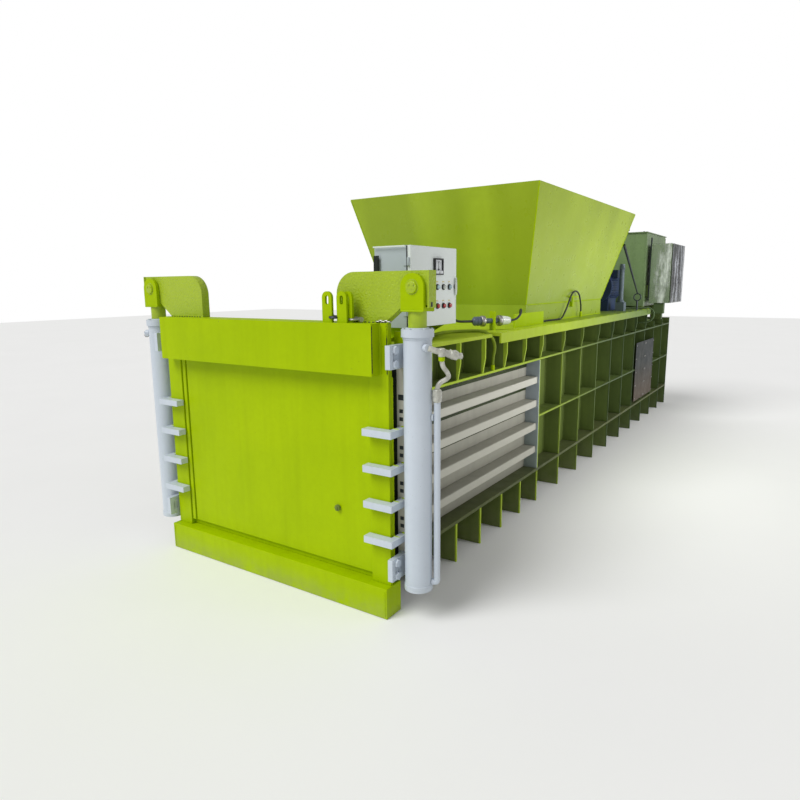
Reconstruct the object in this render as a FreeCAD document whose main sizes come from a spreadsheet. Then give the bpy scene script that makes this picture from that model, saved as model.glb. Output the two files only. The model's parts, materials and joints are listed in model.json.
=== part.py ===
import FreeCAD, Part
import Sketcher
import math
import os
import re

# Horizontal recycling baler with a lifting gate. Millimetres.
# Origin: centre of the front sill's underside. +Y runs from the gate to the power pack, +Z is up.

doc = FreeCAD.newDocument("Baler")

# ---------------------------------------------------------------- driving dimensions
SIZES = {
    # chamber, its plates and its length
    "wallInner": 632, "wallThick": 20, "footReach": 132, "deckReach": 16, "floorTop": 255,
    "floorThick": 20, "deckTop": 1305, "deckThick": 20, "roofDrop": 64, "roofThick": 20,
    "baleLength": 1866, "baleBays": 6, "bayPitch": 463, "bayCount": 10, "deckBays": 7,
    "deckTail": 123, "rearDrop": 160, "bulkheadThick": 20,
    # front sill and ring
    "sillOver": 10, "sillDepth": 124, "sillHeight": 157, "sillWall": 12, "postThick": 30,
    "postReach": 48, "postStep": 190,
    # ribs, shelves and bars of the sides
    "ribThick": 12, "ribDrop": 135, "shelfDrop": 229, "shelfRise": 401, "shelfThick": 14,
    "barCount": 4, "bottomBar": 119, "barSlot": 36, "noseHeight": 50, "noseInset": 14,
    "noseWall": 6, "stripReach": 32, "endPlateThick": 8,
    "flangeThick": 12, "flangeHeight": 64, "flangeBays": 3.5, "flangeLag": 39.5,
    "notchDepth": 90, "notchLength": 104,
    # gate
    "gateReach": 3, "coreInset": 33, "coreThick": 40, "leafThick": 30, "ringGap": 6, "seatGap": 0.5,
    "gateRise": 125, "stripWidth": 113, "panelInset": 40, "panelGap": 3, "panelRecess": 10,
    "panelBottom": 192,
    "trimInset": 20, "trimWidth": 26, "trimRecess": 5,
    "beamInset": 11, "beamDepth": 70, "beamHeight": 238, "beamWall": 10,
    # gate claws and guide blocks
    "clawCount": 4, "clawPitch": 177, "clawLow": 375, "clawThick": 34, "clawLap": 9, "clawGap": 3,
    "clawDepth": 50, "sideGap": 9, "blockGap": 18, "blockHeight": 110, "blockLow": 205,
    "blockDrop": 80, "blockFront": 66, "boltRadius": 10, "boltClear": 0.5, "boltHead": 12,
    "boltHeadRadius": 20, "boltSpread": 32, "boltSet": 27,
    # lifting gear
    "liftReach": 82, "liftY": 36, "barrelRadius": 65, "boreRadius": 52, "barrelBase": 185,
    "barrelDrop": 59, "glandRadius": 74.5, "glandHeight": 35, "footRadius": 68, "footDrop": 22,
    "rodRadius": 42, "fit": 0.05, "seatFit": 0.2, "pistonHeight": 60, "pistonLift": 5, "rodRise": 56,
    "armReach": 440, "armTip": 70, "armRise": 232, "armCorner": 105, "armThick": 50, "armNeck": 160,
    "armShoulder": 56, "armEyeRise": 82, "armCapThick": 8, "armCapRise": 12, "armCapOver": 6,
    "clevisHalf": 60, "clevisThick": 20, "clevisGap": 2, "clevisRelief": 8, "pinRise": 161,
    "pinRadius": 28, "pinHead": 8, "saddleHeight": 30, "saddleSet": 14,
    "lugRadius": 29, "lugHeight": 115, "lugThick": 14, "lugHole": 10, "lugSlot": 22, "lugSet": 22,
    "lugStart": 270, "lugPitch": 88, "lugTwin": 18, "lugStep": 18,
    "pipeOut": 86, "pipeAlong": 28, "pipeRadius": 15.5, "pipeDrop": 261, "pipeRise": 18,
    "pipeBend": 22, "nutHeight": 22, "nutOver": 4, "clampRadius": 16, "clampShare": 0.887,
    "portDrop": 44, "portRadius": 17, "portTube": 11,
    "teeOut": 128, "teeAlong": -6, "teeDrop": 63, "teeHalf": 20, "teeArm": 25,
    "stubOut": 56, "stubAlong": 86, "stubDrop": 24, "stubRadius": 14, "stubCap": 21, "capShare": 0.4,
    # hopper
    "collarLead": 121, "hopperBays": 4, "collarMore": 50, "collarInset": 19, "collarThick": 8,
    "collarRise": 140, "hopperRise": 831, "sideFlare": 183, "frontFlare": 264, "rearFlare": 427,
    "sheet": 5, "bladeDrop": 14, "bladeWidth": 50, "bladeInset": 7,
    # ram and its cylinder
    "ramClear": 19, "ramDepth": 200, "ramSide": 10, "ramLift": 7, "ramUnder": 19,
    "ramPlate": 40, "shieldLength": 1800, "shieldThick": 20, "ramBladeOut": 12, "ramBladeTall": 50,
    "mainBore": 125, "mainWall": 25, "mainRod": 80, "glandLead": 30, "glandDepth": 60, "mainCap": 58,
    "mainPiston": 90, "mainFlange": 175, "mainEnd": 20, "saddleHalf": 210, "saddleThick": 40,
    "saddleFront": 400, "saddleRear": 600,
    # control cabinet
    "cabInset": 100, "cabDepth": 221, "cabSetback": 279, "cabWidth": 474, "cabRise": 78,
    "cabHeight": 412, "cabSheet": 4, "doorDepth": 20, "doorGap": 3, "doorSheet": 4,
    "hingeRadius": 6, "hingeLeaf": 4, "hingeTall": 40, "hingeLow": 60, "hingeHigh": 100,
    "bracketThick": 6, "bracketInset": 20, "bracketToe": 40,
    "buttonRadius": 11, "buttonOut": 16, "buttonStem": 10, "buttonRing": 15, "buttonRingOut": 6,
    "buttonFit": 0.3, "meterLead": 40, "meterWide": 88, "meterTall": 86, "meterOut": 14,
    "meterFloor": 6, "meterRim": 7, "meterDial": 22, "needleLong": 44, "needleRise": 28,
    "handleInset": 19, "handleLong": 96, "handleWide": 18, "handleOut": 14, "spindleRadius": 6,
    # power pack
    "tankInset": 60, "tankWidth": 1160, "tankLap": 102, "tankLength": 1000, "tankRise": 30,
    "tankHeight": 815, "tankWall": 6, "lidOver": 12, "lidThick": 10, "legWide": 90,
    "railLag": 190, "railWide": 80, "railTall": 60,
    "boxReach": 200, "boxLag": 73, "boxLength": 700, "boxRise": 65, "boxHeight": 655, "boxGap": 44,
    "boxSheet": 6, "boxBack": 12, "coreSlab": 48, "boxFace": 46, "mouthOver": 12,
    "strutReach": 39, "strutWidth": 105, "strutLong": 80, "strutDrop": 55, "strutFoot": 20,
    "strutLead": 10, "hangerLead": 30, "hangerLong": 400, "hangerRise": 60, "hangerTall": 140,
    "fanRadius": 210, "hubRadius": 45, "fanBack": 42, "fanDepth": 30, "bladeLong": 22,
    "bladeRoot": 36, "bladeTall": 56,
    "motorX": 420, "motorRise": 255, "motorRadius": 165, "motorLength": 420, "motorFoot": 120,
    "pumpGap": 70, "pumpLength": 280, "bellLength": 110, "bellRadius": 90, "pumpHalf": 70,
    "filterInset": 145, "filterLag": 125, "filterRadius": 24, "filterHalf": 45, "filterHead": 90,
    "filterTall": 400,
    "coverBays": 6, "coverLag": 84, "coverLength": 850, "coverRise": 35, "coverDrop": 200,
    "coverThick": 6,
    # fittings on the deck
    "couplingInset": 144, "couplingLead": 536, "couplingRise": 60, "tabWide": 64, "tabTall": 122,
    "plugEnd": 145, "plugRoot": 88, "plugSeat": 58, "neckEnd": 36, "socketSeat": 62, "socketEnd": 125,
    "plugRadius": 30, "collarRadius": 35, "neckRadius": 17, "cupRadius": 31, "cupMouth": 22,
    "ringRadius": 38, "ringWire": 6, "stemRadius": 9, "eyeInset": 58, "eyeLead": 392, "eyeRise": 138,
    "hookLevel": 0.634, "hookSide": 8, "hookBack": 20, "stayRoot": 13, "stayTip": 6,
    "guardInset": 106, "guardThick": 8, "guardLead": 288, "guardLength": 540, "guardHeight": 92,
    "cornerLap": 14, "cornerThick": 12, "cornerTall": 84,
    "switchLead": 921, "switchFoot": 20, "switchRise": 175, "switchLong": 190, "switchWide": 26,
    "switchArm": 24, "switchStand": 14, "switchRoot": 80, "switchAhead": 80, "switchThick": 8,
    "glandInset": 152, "glandBack": 719, "glandTall": 47, "glandBar": 11,
    "blockInset": 200, "blockWide": 44, "blockLag": 39, "blockLong": 40, "blockTall": 42,
    "fittingLong": 44, "fittingRadius": 13, "fittingDrop": 153, "rearFittingLead": 178,
    "hoseFootInset": 30, "hoseFootLead": 27, "hoseFootTall": 34,
}

# Places that follow from the driving dimensions, each from those above it.
PLACES = {
    "ringFront": "sillDepth / 2", "bodyFront": "ringFront + postThick",
    "baleEnd": "ringFront + baleLength", "balePitch": "baleLength / baleBays",
    "bodyRear": "baleEnd + bayPitch * bayCount",
    "deckEnd": "baleEnd + bayPitch * deckBays + deckTail",
    "wallOuter": "wallInner + wallThick", "footHalf": "wallOuter + footReach",
    "deckHalf": "footHalf + deckReach", "ribMiddle": "(wallOuter + footHalf) / 2",
    "floorUnder": "floorTop - floorThick", "deckUnder": "deckTop - deckThick",
    "roofUnder": "deckTop - roofDrop", "rearTop": "deckTop - rearDrop",
    "sillHalf": "deckHalf + sillOver", "postOuter": "deckHalf + postReach",
    "ribBend": "deckTop - ribDrop", "shelfHigh": "deckTop - shelfDrop",
    "shelfMid": "floorTop + shelfRise", "noseOuter": "footHalf - noseInset",
    "stripOuter": "wallOuter + stripReach",
    "barPitch": "(shelfHigh - shelfThick - floorTop - bottomBar) / barCount",
    "flangeFront": "ringFront + balePitch * flangeBays + flangeLag",
    "gateHalf": "deckHalf + gateReach", "coreHalf": "gateHalf - coreInset",
    "stripInner": "gateHalf - stripWidth", "panelHalf": "stripInner - panelInset",
    "trimHalf": "stripInner - trimInset", "beamHalf": "coreHalf - beamInset",
    "coreRear": "ringFront - ringGap", "coreFront": "coreRear - coreThick",
    "leafFront": "coreFront - leafThick", "beamFront": "leafFront - beamDepth",
    "gateBottom": "sillHeight + seatGap", "gateTop": "deckTop + gateRise",
    "beamBottom": "gateTop - beamHeight", "clawInner": "stripInner - clawLap",
    "blockHigh": "deckTop - blockDrop",
    "liftX": "postOuter + liftReach", "barrelTop": "gateTop - barrelDrop",
    "rodTop": "gateTop + rodRise", "armTop": "gateTop + armRise", "armFront": "liftY - armThick / 2",
    "armInner": "liftX - armReach", "armOuter": "liftX + armTip", "armNeckX": "liftX - armNeck",
    "armEyeX": "liftX - armShoulder", "armEyeZ": "gateTop + armEyeRise", "pinZ": "gateTop + pinRise",
    "pipeTop": "barrelTop - pipeDrop", "portZ": "barrelTop - portDrop", "teeZ": "barrelTop - teeDrop",
    "hopperFront": "baleEnd + collarLead",
    "hopperRear": "hopperFront + bayPitch * hopperBays + collarMore",
    "collarHalf": "wallInner - collarInset", "collarTop": "deckTop + collarRise",
    "hopperTop": "collarTop + hopperRise", "rimHalf": "collarHalf + sideFlare",
    "rimFront": "hopperFront - frontFlare", "rimRear": "hopperRear + rearFlare",
    "ramFace": "hopperRear + ramClear", "ramHalf": "wallInner - ramSide",
    "ramBottom": "floorTop + ramLift", "ramTop": "roofUnder - ramUnder",
    "mainZ": "(ramBottom + ramTop) / 2", "mainFront": "ramFace + ramDepth + glandLead",
    "mainRear": "bodyRear - bulkheadThick - mainCap", "mainOuter": "mainBore + mainWall",
    "cabOuter": "deckHalf - cabInset", "cabInner": "cabOuter - cabDepth",
    "cabFront": "ringFront + cabSetback", "cabRear": "cabFront + cabWidth",
    "cabBottom": "deckTop + cabRise", "cabTop": "cabBottom + cabHeight",
    "doorInner": "cabOuter - doorDepth", "shellOuter": "doorInner - doorGap",
    "hingeX": "cabOuter - doorDepth / 2", "hingeY": "cabFront - hingeRadius",
    "buttonY": "cabFront + cabWidth * 0.55", "buttonPitch": "cabWidth * 0.137",
    "buttonHigh": "cabBottom + cabHeight * 0.495", "buttonLow": "cabBottom + cabHeight * 0.25",
    "meterY": "buttonY - meterLead", "meterLow": "cabBottom + cabHeight * 0.65",
    "dialY": "meterY + meterWide / 2", "dialZ": "meterLow + needleRise",
    "handleY": "cabRear - handleInset", "handleZ": "cabBottom + cabHeight * 0.5",
    "tankOuter": "deckHalf - tankInset", "tankInner": "tankOuter - tankWidth",
    "tankFront": "deckEnd - tankLap", "tankRear": "tankFront + tankLength",
    "tankBottom": "deckTop + tankRise", "tankTop": "tankBottom + tankHeight",
    "railFront": "tankRear - railLag", "railRear": "railFront + railWide",
    "boxInner": "tankOuter + boxGap", "boxOuter": "deckHalf + boxReach",
    "boxFront": "tankFront + boxLag", "boxRear": "boxFront + boxLength",
    "boxBottom": "deckTop + boxRise", "boxTop": "boxBottom + boxHeight",
    "fanY": "(boxFront + boxRear) / 2", "fanZ": "(boxBottom + boxTop) / 2",
    "strutInner": "deckHalf + strutReach", "strutOuter": "strutInner + strutWidth",
    "motorZ": "deckTop + motorRise", "motorFront": "tankFront - pumpGap - pumpLength - motorLength",
    "motorRear": "motorFront + motorLength",
    "filterX": "deckHalf - filterInset", "filterY": "motorFront + filterLag",
    "coverFront": "baleEnd + bayPitch * coverBays + coverLag",
    "coverRear": "coverFront + coverLength", "coverLow": "floorTop + coverRise",
    "coverHigh": "rearTop - coverDrop",
    "couplingX": "deckHalf - couplingInset", "couplingY": "baleEnd - couplingLead",
    "couplingZ": "deckTop + couplingRise",
    "eyeX": "deckHalf - eyeInset", "eyeY": "deckEnd - eyeLead", "eyeZ": "deckTop + eyeRise",
    "guardX": "deckHalf - guardInset", "guardY": "baleEnd - guardLead",
    "switchY": "hopperRear - switchLead", "switchZ": "deckTop + switchRise",
    "glandX": "deckHalf - glandInset", "glandY": "hopperRear - glandBack",
    "blockX": "deckHalf - blockInset", "blockY": "cabFront + blockLag",
    "hoseFootX": "deckHalf - hoseFootInset", "hoseFootY": "flangeFront - hoseFootLead",
    "cableEndY": "deckEnd - rearFittingLead", "cableEndZ": "deckTop - fittingDrop",
}

sheet = doc.addObject("Spreadsheet::Sheet", "Sizes")
ALIASES = {**SIZES, **PLACES}
for row, (alias, value) in enumerate(ALIASES.items(), start=1):
    sheet.set(f"A{row}", alias)
    sheet.set(f"B{row}", f"={value}")
    sheet.setAlias(f"B{row}", alias)
doc.recompute()


def size(name):
    return float(sheet.get(name))


NODES = {}


def formula(text):
    """An expression in which every size's name points at its cell."""
    return re.sub(r"[A-Za-z]\w*", lambda m: f"Sizes.{m[0]}" if m[0] in ALIASES else m[0], str(text))


def bind(thing, **rules):
    for prop, text in rules.items():
        thing.setExpression(prop.replace("__", "."), formula(text))
    return thing


def place(thing, x, y, z):
    return bind(thing, Placement__Base__x=x, Placement__Base__y=y, Placement__Base__z=z)


# ---------------------------------------------------------------- building blocks
def box(name, x0, x1, y0, y1, z0, z1):
    block = doc.addObject("Part::Box", name)
    bind(block, Length=f"({x1}) - ({x0})", Width=f"({y1}) - ({y0})", Height=f"({z1}) - ({z0})")
    return place(block, x0, y0, z0)


TURNS = {
    "X": FreeCAD.Rotation(FreeCAD.Vector(0, 1, 0), 90),
    "Y": FreeCAD.Rotation(FreeCAD.Vector(1, 0, 0), -90),
    "Z": FreeCAD.Rotation(),
}


def cylinder(name, axis, radius, start, length, across):
    """A round bar along an axis: across holds its other two coordinates in X, Y, Z order."""
    bar = doc.addObject("Part::Cylinder", name)
    bar.Placement = FreeCAD.Placement(FreeCAD.Vector(), TURNS[axis])
    bind(bar, Radius=radius, Height=length)
    spot = list(across)
    spot.insert("XYZ".index(axis), start)
    return place(bar, *spot)


def tube(name, axis, outer, inner, start, length, across):
    return cut(name, cylinder(f"{name}_outside", axis, outer, start, length, across),
               cylinder(f"{name}_bore", axis, inner, f"{start} - 1", f"({length}) + 2", across))


OUTLINES = {
    "X": FreeCAD.Rotation(FreeCAD.Vector(1, 1, 1), 120),
    "Y": FreeCAD.Rotation(FreeCAD.Vector(1, 0, 0), 90),
    "Z": FreeCAD.Rotation(),
}
DIRECTIONS = {"X": (1, 0, 0), "Y": (0, 1, 0), "Z": (0, 0, 1)}


def plate(name, axis, start, thickness, corners):
    """A plate with straight edges: corners are its outline, looking along the axis."""
    sketch = doc.addObject("Sketcher::SketchObject", f"{name}_outline")
    sketch.Placement = FreeCAD.Placement(FreeCAD.Vector(), OUTLINES[axis])
    count = len(corners)
    ring = [FreeCAD.Vector(100 * math.cos(math.tau * i / count), 100 * math.sin(math.tau * i / count), 0)
            for i in range(count)]
    for i in range(count):
        sketch.addGeometry(Part.LineSegment(ring[i], ring[(i + 1) % count]), False)
    for i in range(count):
        sketch.addConstraint(Sketcher.Constraint("Coincident", i, 2, (i + 1) % count, 1))
    for i, corner in enumerate(corners):
        for kind, text in zip(("DistanceX", "DistanceY"), corner):
            number = sketch.addConstraint(Sketcher.Constraint(kind, -1, 1, i, 1, 1.0))
            sketch.renameConstraint(number, f"{kind}{i}")
            sketch.setExpression(f"Constraints.{kind}{i}", formula(text))
    sketch.setExpression(f"Placement.Base.{axis.lower()}", formula(start))
    solid = doc.addObject("Part::Extrusion", name)
    solid.Base = sketch
    solid.DirMode = "Custom"
    solid.Dir = FreeCAD.Vector(*DIRECTIONS[axis])
    solid.Solid = True
    return bind(solid, LengthFwd=thickness)


def frustum(name, half, front, rear, z0, half2, front2, rear2, z1):
    """A four-sided funnel block that widens from z0 to z1."""
    wedge = doc.addObject("Part::Wedge", name)
    wedge.Placement = FreeCAD.Placement(FreeCAD.Vector(), OUTLINES["Y"])
    bind(wedge, Ymin="0", Ymax=f"({z1}) - ({z0})",
         Xmin=f"-({half})", Xmax=half, Zmin=f"-({rear})", Zmax=f"-({front})",
         X2min=f"-({half2})", X2max=half2, Z2min=f"-({rear2})", Z2max=f"-({front2})")
    wedge.setExpression("Placement.Base.z", formula(z0))
    return wedge


def cut(name, base, *tools):
    hole = doc.addObject("Part::Cut", name)
    hole.Base = base
    hole.Tool = tools[0] if len(tools) == 1 else group(f"{name}_tools", *tools)
    return hole


def fuse(name, *parts):
    joined = doc.addObject("Part::MultiFuse", name)
    joined.Shapes = list(parts)
    joined.Refine = True
    return joined


def group(name, *parts):
    bundle = doc.addObject("Part::Compound", name)
    bundle.Links = list(parts)
    return bundle


def mirrored(part):
    twin = doc.addObject("Part::Mirroring", f"{part.Name}_left")
    twin.Source = part
    twin.Normal = FreeCAD.Vector(1, 0, 0)
    return twin


def node(label, *parts):
    """One sub-part, under the label that names its file."""
    top = parts[0] if len(parts) == 1 else group(f"{label}_all", *parts)
    top.Label = label
    NODES[label] = top
    return top


def both_sides(label, *parts):
    return node(label, *parts, *[mirrored(part) for part in parts])


# ---------------------------------------------------------------- base and chamber
def build_base():
    beam = cut("sill_beam",
               box("sill_block", "sillWall - sillHalf", "sillHalf - sillWall",
                   "-ringFront", "ringFront", "0", "sillHeight"),
               box("sill_hollow", "-sillHalf", "sillHalf", "sillWall - ringFront",
                   "ringFront - sillWall", "sillWall", "sillHeight - sillWall"))
    cap = box("sill_cap", "sillHalf - sillWall", "sillHalf",
              "-ringFront", "ringFront", "0", "sillHeight")
    node("front_sill", beam, cap, mirrored(cap))
    node("floor_plate", box("floor_block", "-footHalf", "footHalf", "bodyFront",
                            "bodyRear - bulkheadThick", "floorUnder", "floorTop"))
    feet = [box(f"cross_plate_{i}", "-footHalf", "footHalf", y, f"{y} + ribThick", "0", "floorUnder")
            for i, y in enumerate(short_stations() + full_stations())]
    node("floor_cross_plates", *feet)


def short_stations():
    """Front faces of the ribs over the bale section."""
    return [f"(ringFront + balePitch * {k})" for k in range(1, SIZES["baleBays"])]


def full_stations():
    return [f"(baleEnd + bayPitch * {k})" for k in range(SIZES["bayCount"])]


def build_ring():
    post = plate("ring_post", "Y", "ringFront", "postThick",
                 [("wallOuter", "0"), ("footHalf", "0"), ("footHalf", "postStep"),
                  ("postOuter", "postStep"), ("postOuter", "deckTop"), ("wallOuter", "deckTop")])
    lower = box("ring_lower", "-wallOuter", "wallOuter", "ringFront", "bodyFront", "0", "floorTop")
    upper = box("ring_upper", "-wallOuter", "wallOuter", "ringFront", "bodyFront",
                "roofUnder", "deckTop")
    node("front_ring", lower, upper, post, mirrored(post))


def build_sides():
    walls = [
        box("wall_bale_top", "wallInner", "wallOuter", "bodyFront", "baleEnd",
            "shelfHigh - shelfThick", "deckUnder"),
        box("wall_middle", "wallInner", "wallOuter", "baleEnd", "deckEnd", "floorTop", "deckUnder"),
        box("wall_rear", "wallInner", "wallOuter", "deckEnd", "bodyRear - bulkheadThick",
            "floorTop", "rearTop")]
    bulkhead = box("bulkhead_block", "-footHalf", "footHalf", "bodyRear - bulkheadThick",
                   "bodyRear", "0", "rearTop")
    node("side_walls", *walls, *[mirrored(wall) for wall in walls], bulkhead)
    build_bars()
    build_ribs()


def build_bars():
    """Hollow noses with plain strips between them, and a slot for the wire above each strip."""
    bars = []
    top = "(shelfHigh - shelfThick)"
    end = "(baleEnd - endPlateThick)"
    for k in range(SIZES["barCount"]):
        low = f"({top} - barPitch * {k + 1})"
        nose_top = f"({low} + noseHeight)"
        nose = cut(f"bar_nose_{k}",
                   box(f"bar_nose_block_{k}", "wallInner", "noseOuter", "bodyFront", end, low, nose_top),
                   box(f"bar_nose_hollow_{k}", "wallInner + noseWall", "noseOuter - noseWall",
                       "bodyFront - 1", f"{end} + 1", f"{low} + noseWall", f"{nose_top} - noseWall"))
        strip = box(f"bar_strip_{k}", "wallInner", "stripOuter", "bodyFront", end,
                    nose_top, f"{low} + barPitch - barSlot")
        bars += [nose, strip]
    bars.append(box("bar_bottom", "wallInner", "stripOuter", "bodyFront", end,
                    "floorTop", "floorTop + bottomBar"))
    both_sides("wire_bars", *bars)
    both_sides("bale_end_plates",
               box("end_plate", "wallInner", "footHalf", end, "baleEnd",
                   "floorTop", "shelfHigh - shelfThick"))


def build_ribs():
    """Ribs under the deck and down the sides, halved with the long shelves that cross them."""
    upper = [("deckHalf", "deckUnder"), ("deckHalf", "ribBend"), ("footHalf", "shelfHigh")]
    short = [plate(f"short_rib_{i}", "Y", y, "ribThick",
                   [("wallOuter", "deckUnder"), *upper, ("wallOuter", "shelfHigh")])
             for i, y in enumerate(short_stations())]
    tall = []
    for i, y in enumerate(full_stations()):
        foot = [("footHalf", "floorTop"), ("wallOuter", "floorTop")]
        if i <= SIZES["deckBays"]:
            outline = [("wallOuter", "deckUnder"), *upper, *foot]
        else:
            outline = [("wallOuter", "rearTop"), ("footHalf", "rearTop"), *foot]
        tall.append(plate(f"tall_rib_{i}", "Y", y, "ribThick", outline))
    rear = "(bodyRear - bulkheadThick)"
    slots = [box(f"rib_slot_{level}", "ribMiddle", "footHalf + 1", "baleEnd - 1", f"{rear} + 1",
                 f"{level} - shelfThick", level) for level in ("shelfHigh", "shelfMid")]
    both_sides("side_ribs", *short, cut("tall_ribs", group("tall_rib_set", *tall), *slots))
    shelves = group("shelf_set",
                    box("shelf_high", "wallOuter", "footHalf", "bodyFront", rear,
                        "shelfHigh - shelfThick", "shelfHigh"),
                    box("shelf_mid", "wallOuter", "footHalf", "baleEnd", rear,
                        "shelfMid - shelfThick", "shelfMid"))
    notches = [box(f"shelf_notch_{i}", "wallOuter - 1", "ribMiddle", y, f"{y} + ribThick",
                   "floorTop", "rearTop") for i, y in enumerate(full_stations())]
    both_sides("side_shelves", cut("shelves", shelves, *notches))


def build_top():
    front_end = "(hopperFront + collarThick)"
    rear_start = "(hopperRear - collarThick)"
    opening = "(collarHalf - collarThick)"
    roof = [box("roof_front", "-wallInner", "wallInner", "bodyFront", "hopperFront",
                "roofUnder", "roofUnder + roofThick"),
            box("roof_rear", "-wallInner", "wallInner", "hopperRear", "deckEnd",
                "roofUnder", "roofUnder + roofThick")]
    side = box("deck_side", opening, "deckHalf", front_end, rear_start, "deckUnder", "deckTop")
    front = cut("deck_front",
                box("deck_front_block", "-deckHalf", "deckHalf", "bodyFront", front_end,
                    "deckUnder", "deckTop"),
                box("hose_notch", "deckHalf - notchDepth", "deckHalf + 1",
                    "flangeFront - notchLength", "flangeFront", "deckUnder - 1", "deckTop + 1"))
    node("deck_plates", front,
         box("deck_rear", "-deckHalf", "deckHalf", rear_start, "deckEnd", "deckUnder", "deckTop"),
         side, mirrored(side), *roof)
    both_sides("deck_flanges",
               box("deck_flange", "deckHalf", "deckHalf + flangeThick",
                   "flangeFront", "deckEnd", "deckTop - flangeHeight", "deckTop"))
    node("shear_blade",
         box("shear_bar", "bladeInset - wallInner", "wallInner - bladeInset",
             "hopperFront - bladeWidth", "hopperFront",
             "roofUnder - bladeDrop", "roofUnder"))


def build_hopper():
    node("hopper",
         cut("hopper_shell",
             frustum("hopper_outside", "collarHalf", "hopperFront", "hopperRear", "collarTop",
                     "rimHalf", "rimFront", "rimRear", "hopperTop"),
             frustum("hopper_inside", "collarHalf - sheet", "hopperFront + sheet",
                     "hopperRear - sheet", "collarTop",
                     "rimHalf - sheet", "rimFront + sheet", "rimRear - sheet", "hopperTop")))
    node("hopper_collar",
         cut("collar_frame",
             box("collar_block", "-collarHalf", "collarHalf", "hopperFront", "hopperRear",
                 "deckTop", "collarTop"),
             box("collar_hollow", "collarThick - collarHalf", "collarHalf - collarThick",
                 "hopperFront + collarThick", "hopperRear - collarThick",
                 "deckTop - 1", "collarTop + 1")))


# ---------------------------------------------------------------- gate and its guides
def build_gate():
    side = box("gate_strip", "stripInner", "gateHalf", "leafFront", "coreFront", "gateBottom", "gateTop")
    node("gate_leaf",
         box("gate_core", "-coreHalf", "coreHalf", "coreFront", "coreRear", "gateBottom", "gateTop"),
         side, mirrored(side))
    node("gate_panel",
         box("gate_sheet", "-panelHalf", "stripInner - panelGap", "leafFront + panelRecess",
             "coreFront", "panelBottom", "gateTop"),
         box("gate_trim", "-trimHalf - trimWidth / 2", "-trimHalf + trimWidth / 2",
             "leafFront + trimRecess", "coreFront", "panelBottom", "gateTop"))
    beam = cut("beam_tube",
               box("beam_block", "beamWall - beamHalf", "beamHalf - beamWall", "beamFront", "leafFront",
                   "beamBottom", "gateTop"),
               box("beam_hollow", "-beamHalf", "beamHalf", "beamFront + beamWall",
                   "leafFront - beamWall", "beamBottom + beamWall", "gateTop - beamWall"))
    cap = box("beam_cap", "beamHalf - beamWall", "beamHalf", "beamFront", "leafFront",
              "beamBottom", "gateTop")
    node("gate_top_beam", beam, cap, mirrored(cap))
    lugs = []
    start = "(beamHalf - lugStart)"
    for i, (x, step) in enumerate(((start, "0"), (f"({start} + lugPitch)", "0"),
                                   (f"({start} + lugPitch + lugTwin)", "lugStep"))):
        y = f"(beamFront + lugSet + {step})"
        body = box(f"lug_block_{i}", f"{x} - lugRadius", f"{x} + lugRadius", y, f"{y} + lugThick",
                   "gateTop", "gateTop + lugHeight")
        crown = cylinder(f"lug_crown_{i}", "Y", "lugRadius", y, "lugThick",
                         (x, "gateTop + lugHeight"))
        low = "(gateTop + lugHeight - lugSlot)"
        across = (f"{y} - 1", "lugThick + 2")
        slot = fuse(f"lug_slot_{i}",
                    cylinder(f"lug_slot_top_{i}", "Y", "lugHole", *across, (x, f"{low} + lugSlot")),
                    cylinder(f"lug_slot_low_{i}", "Y", "lugHole", *across, (x, low)),
                    box(f"lug_slot_middle_{i}", f"{x} - lugHole", f"{x} + lugHole",
                        f"{y} - 1", f"{y} + lugThick + 1", low, f"{low} + lugSlot"))
        lugs.append(cut(f"lug_{i}", fuse(f"lug_solid_{i}", body, crown), slot))
    node("gate_lugs", *lugs)


def build_guides():
    claw_front = "(leafFront - clawGap - clawDepth)"
    leg_inner = "(gateHalf + sideGap)"
    outline = [("clawInner", claw_front), ("postOuter", claw_front), ("postOuter", "ringFront"),
               (leg_inner, "ringFront"), (leg_inner, "leafFront - clawGap"),
               ("clawInner", "leafFront - clawGap")]
    both_sides("gate_claws", *[
        plate(f"claw_{k}", "Z", f"clawLow + clawPitch * {k}", "clawThick", outline)
        for k in range(SIZES["clawCount"])])
    blocks = []
    bolts = []
    for level, low in (("low", "blockLow"), ("high", "blockHigh")):
        middle = f"({low} + blockHeight / 2)"
        block = box(f"guide_{level}", "gateHalf + blockGap", "postOuter", "-blockFront", "ringFront",
                    low, f"{low} + blockHeight")
        holes = []
        for side in (-1, 1):
            spot = ("-boltSet", f"{middle} + boltSpread * {side}")
            shank_start = "(gateHalf + blockGap)"
            depth = f"(postOuter - {shank_start})"
            holes.append(cylinder(f"guide_hole_{level}_{side + 1}", "X", "boltRadius + boltClear",
                                  f"{shank_start} - 1", f"{depth} + 2", spot))
            shank = cylinder(f"bolt_shank_{level}_{side + 1}", "X", "boltRadius", shank_start,
                             f"{depth} + 1", spot)
            bolts.append(fuse(f"bolt_{level}_{side + 1}", shank, hex_head(level, side, spot)))
        blocks.append(cut(f"guide_block_{level}", block, *holes))
    both_sides("guide_blocks", *blocks)
    both_sides("guide_bolts", *bolts)


def hex_head(level, side, spot):
    head = doc.addObject("Part::Prism", f"bolt_head_{level}_{side + 1}")
    head.Polygon = 6
    head.Placement = FreeCAD.Placement(FreeCAD.Vector(), TURNS["X"])
    bind(head, Circumradius="boltHeadRadius", Height="boltHead")
    return place(head, "postOuter", *spot)


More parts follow.
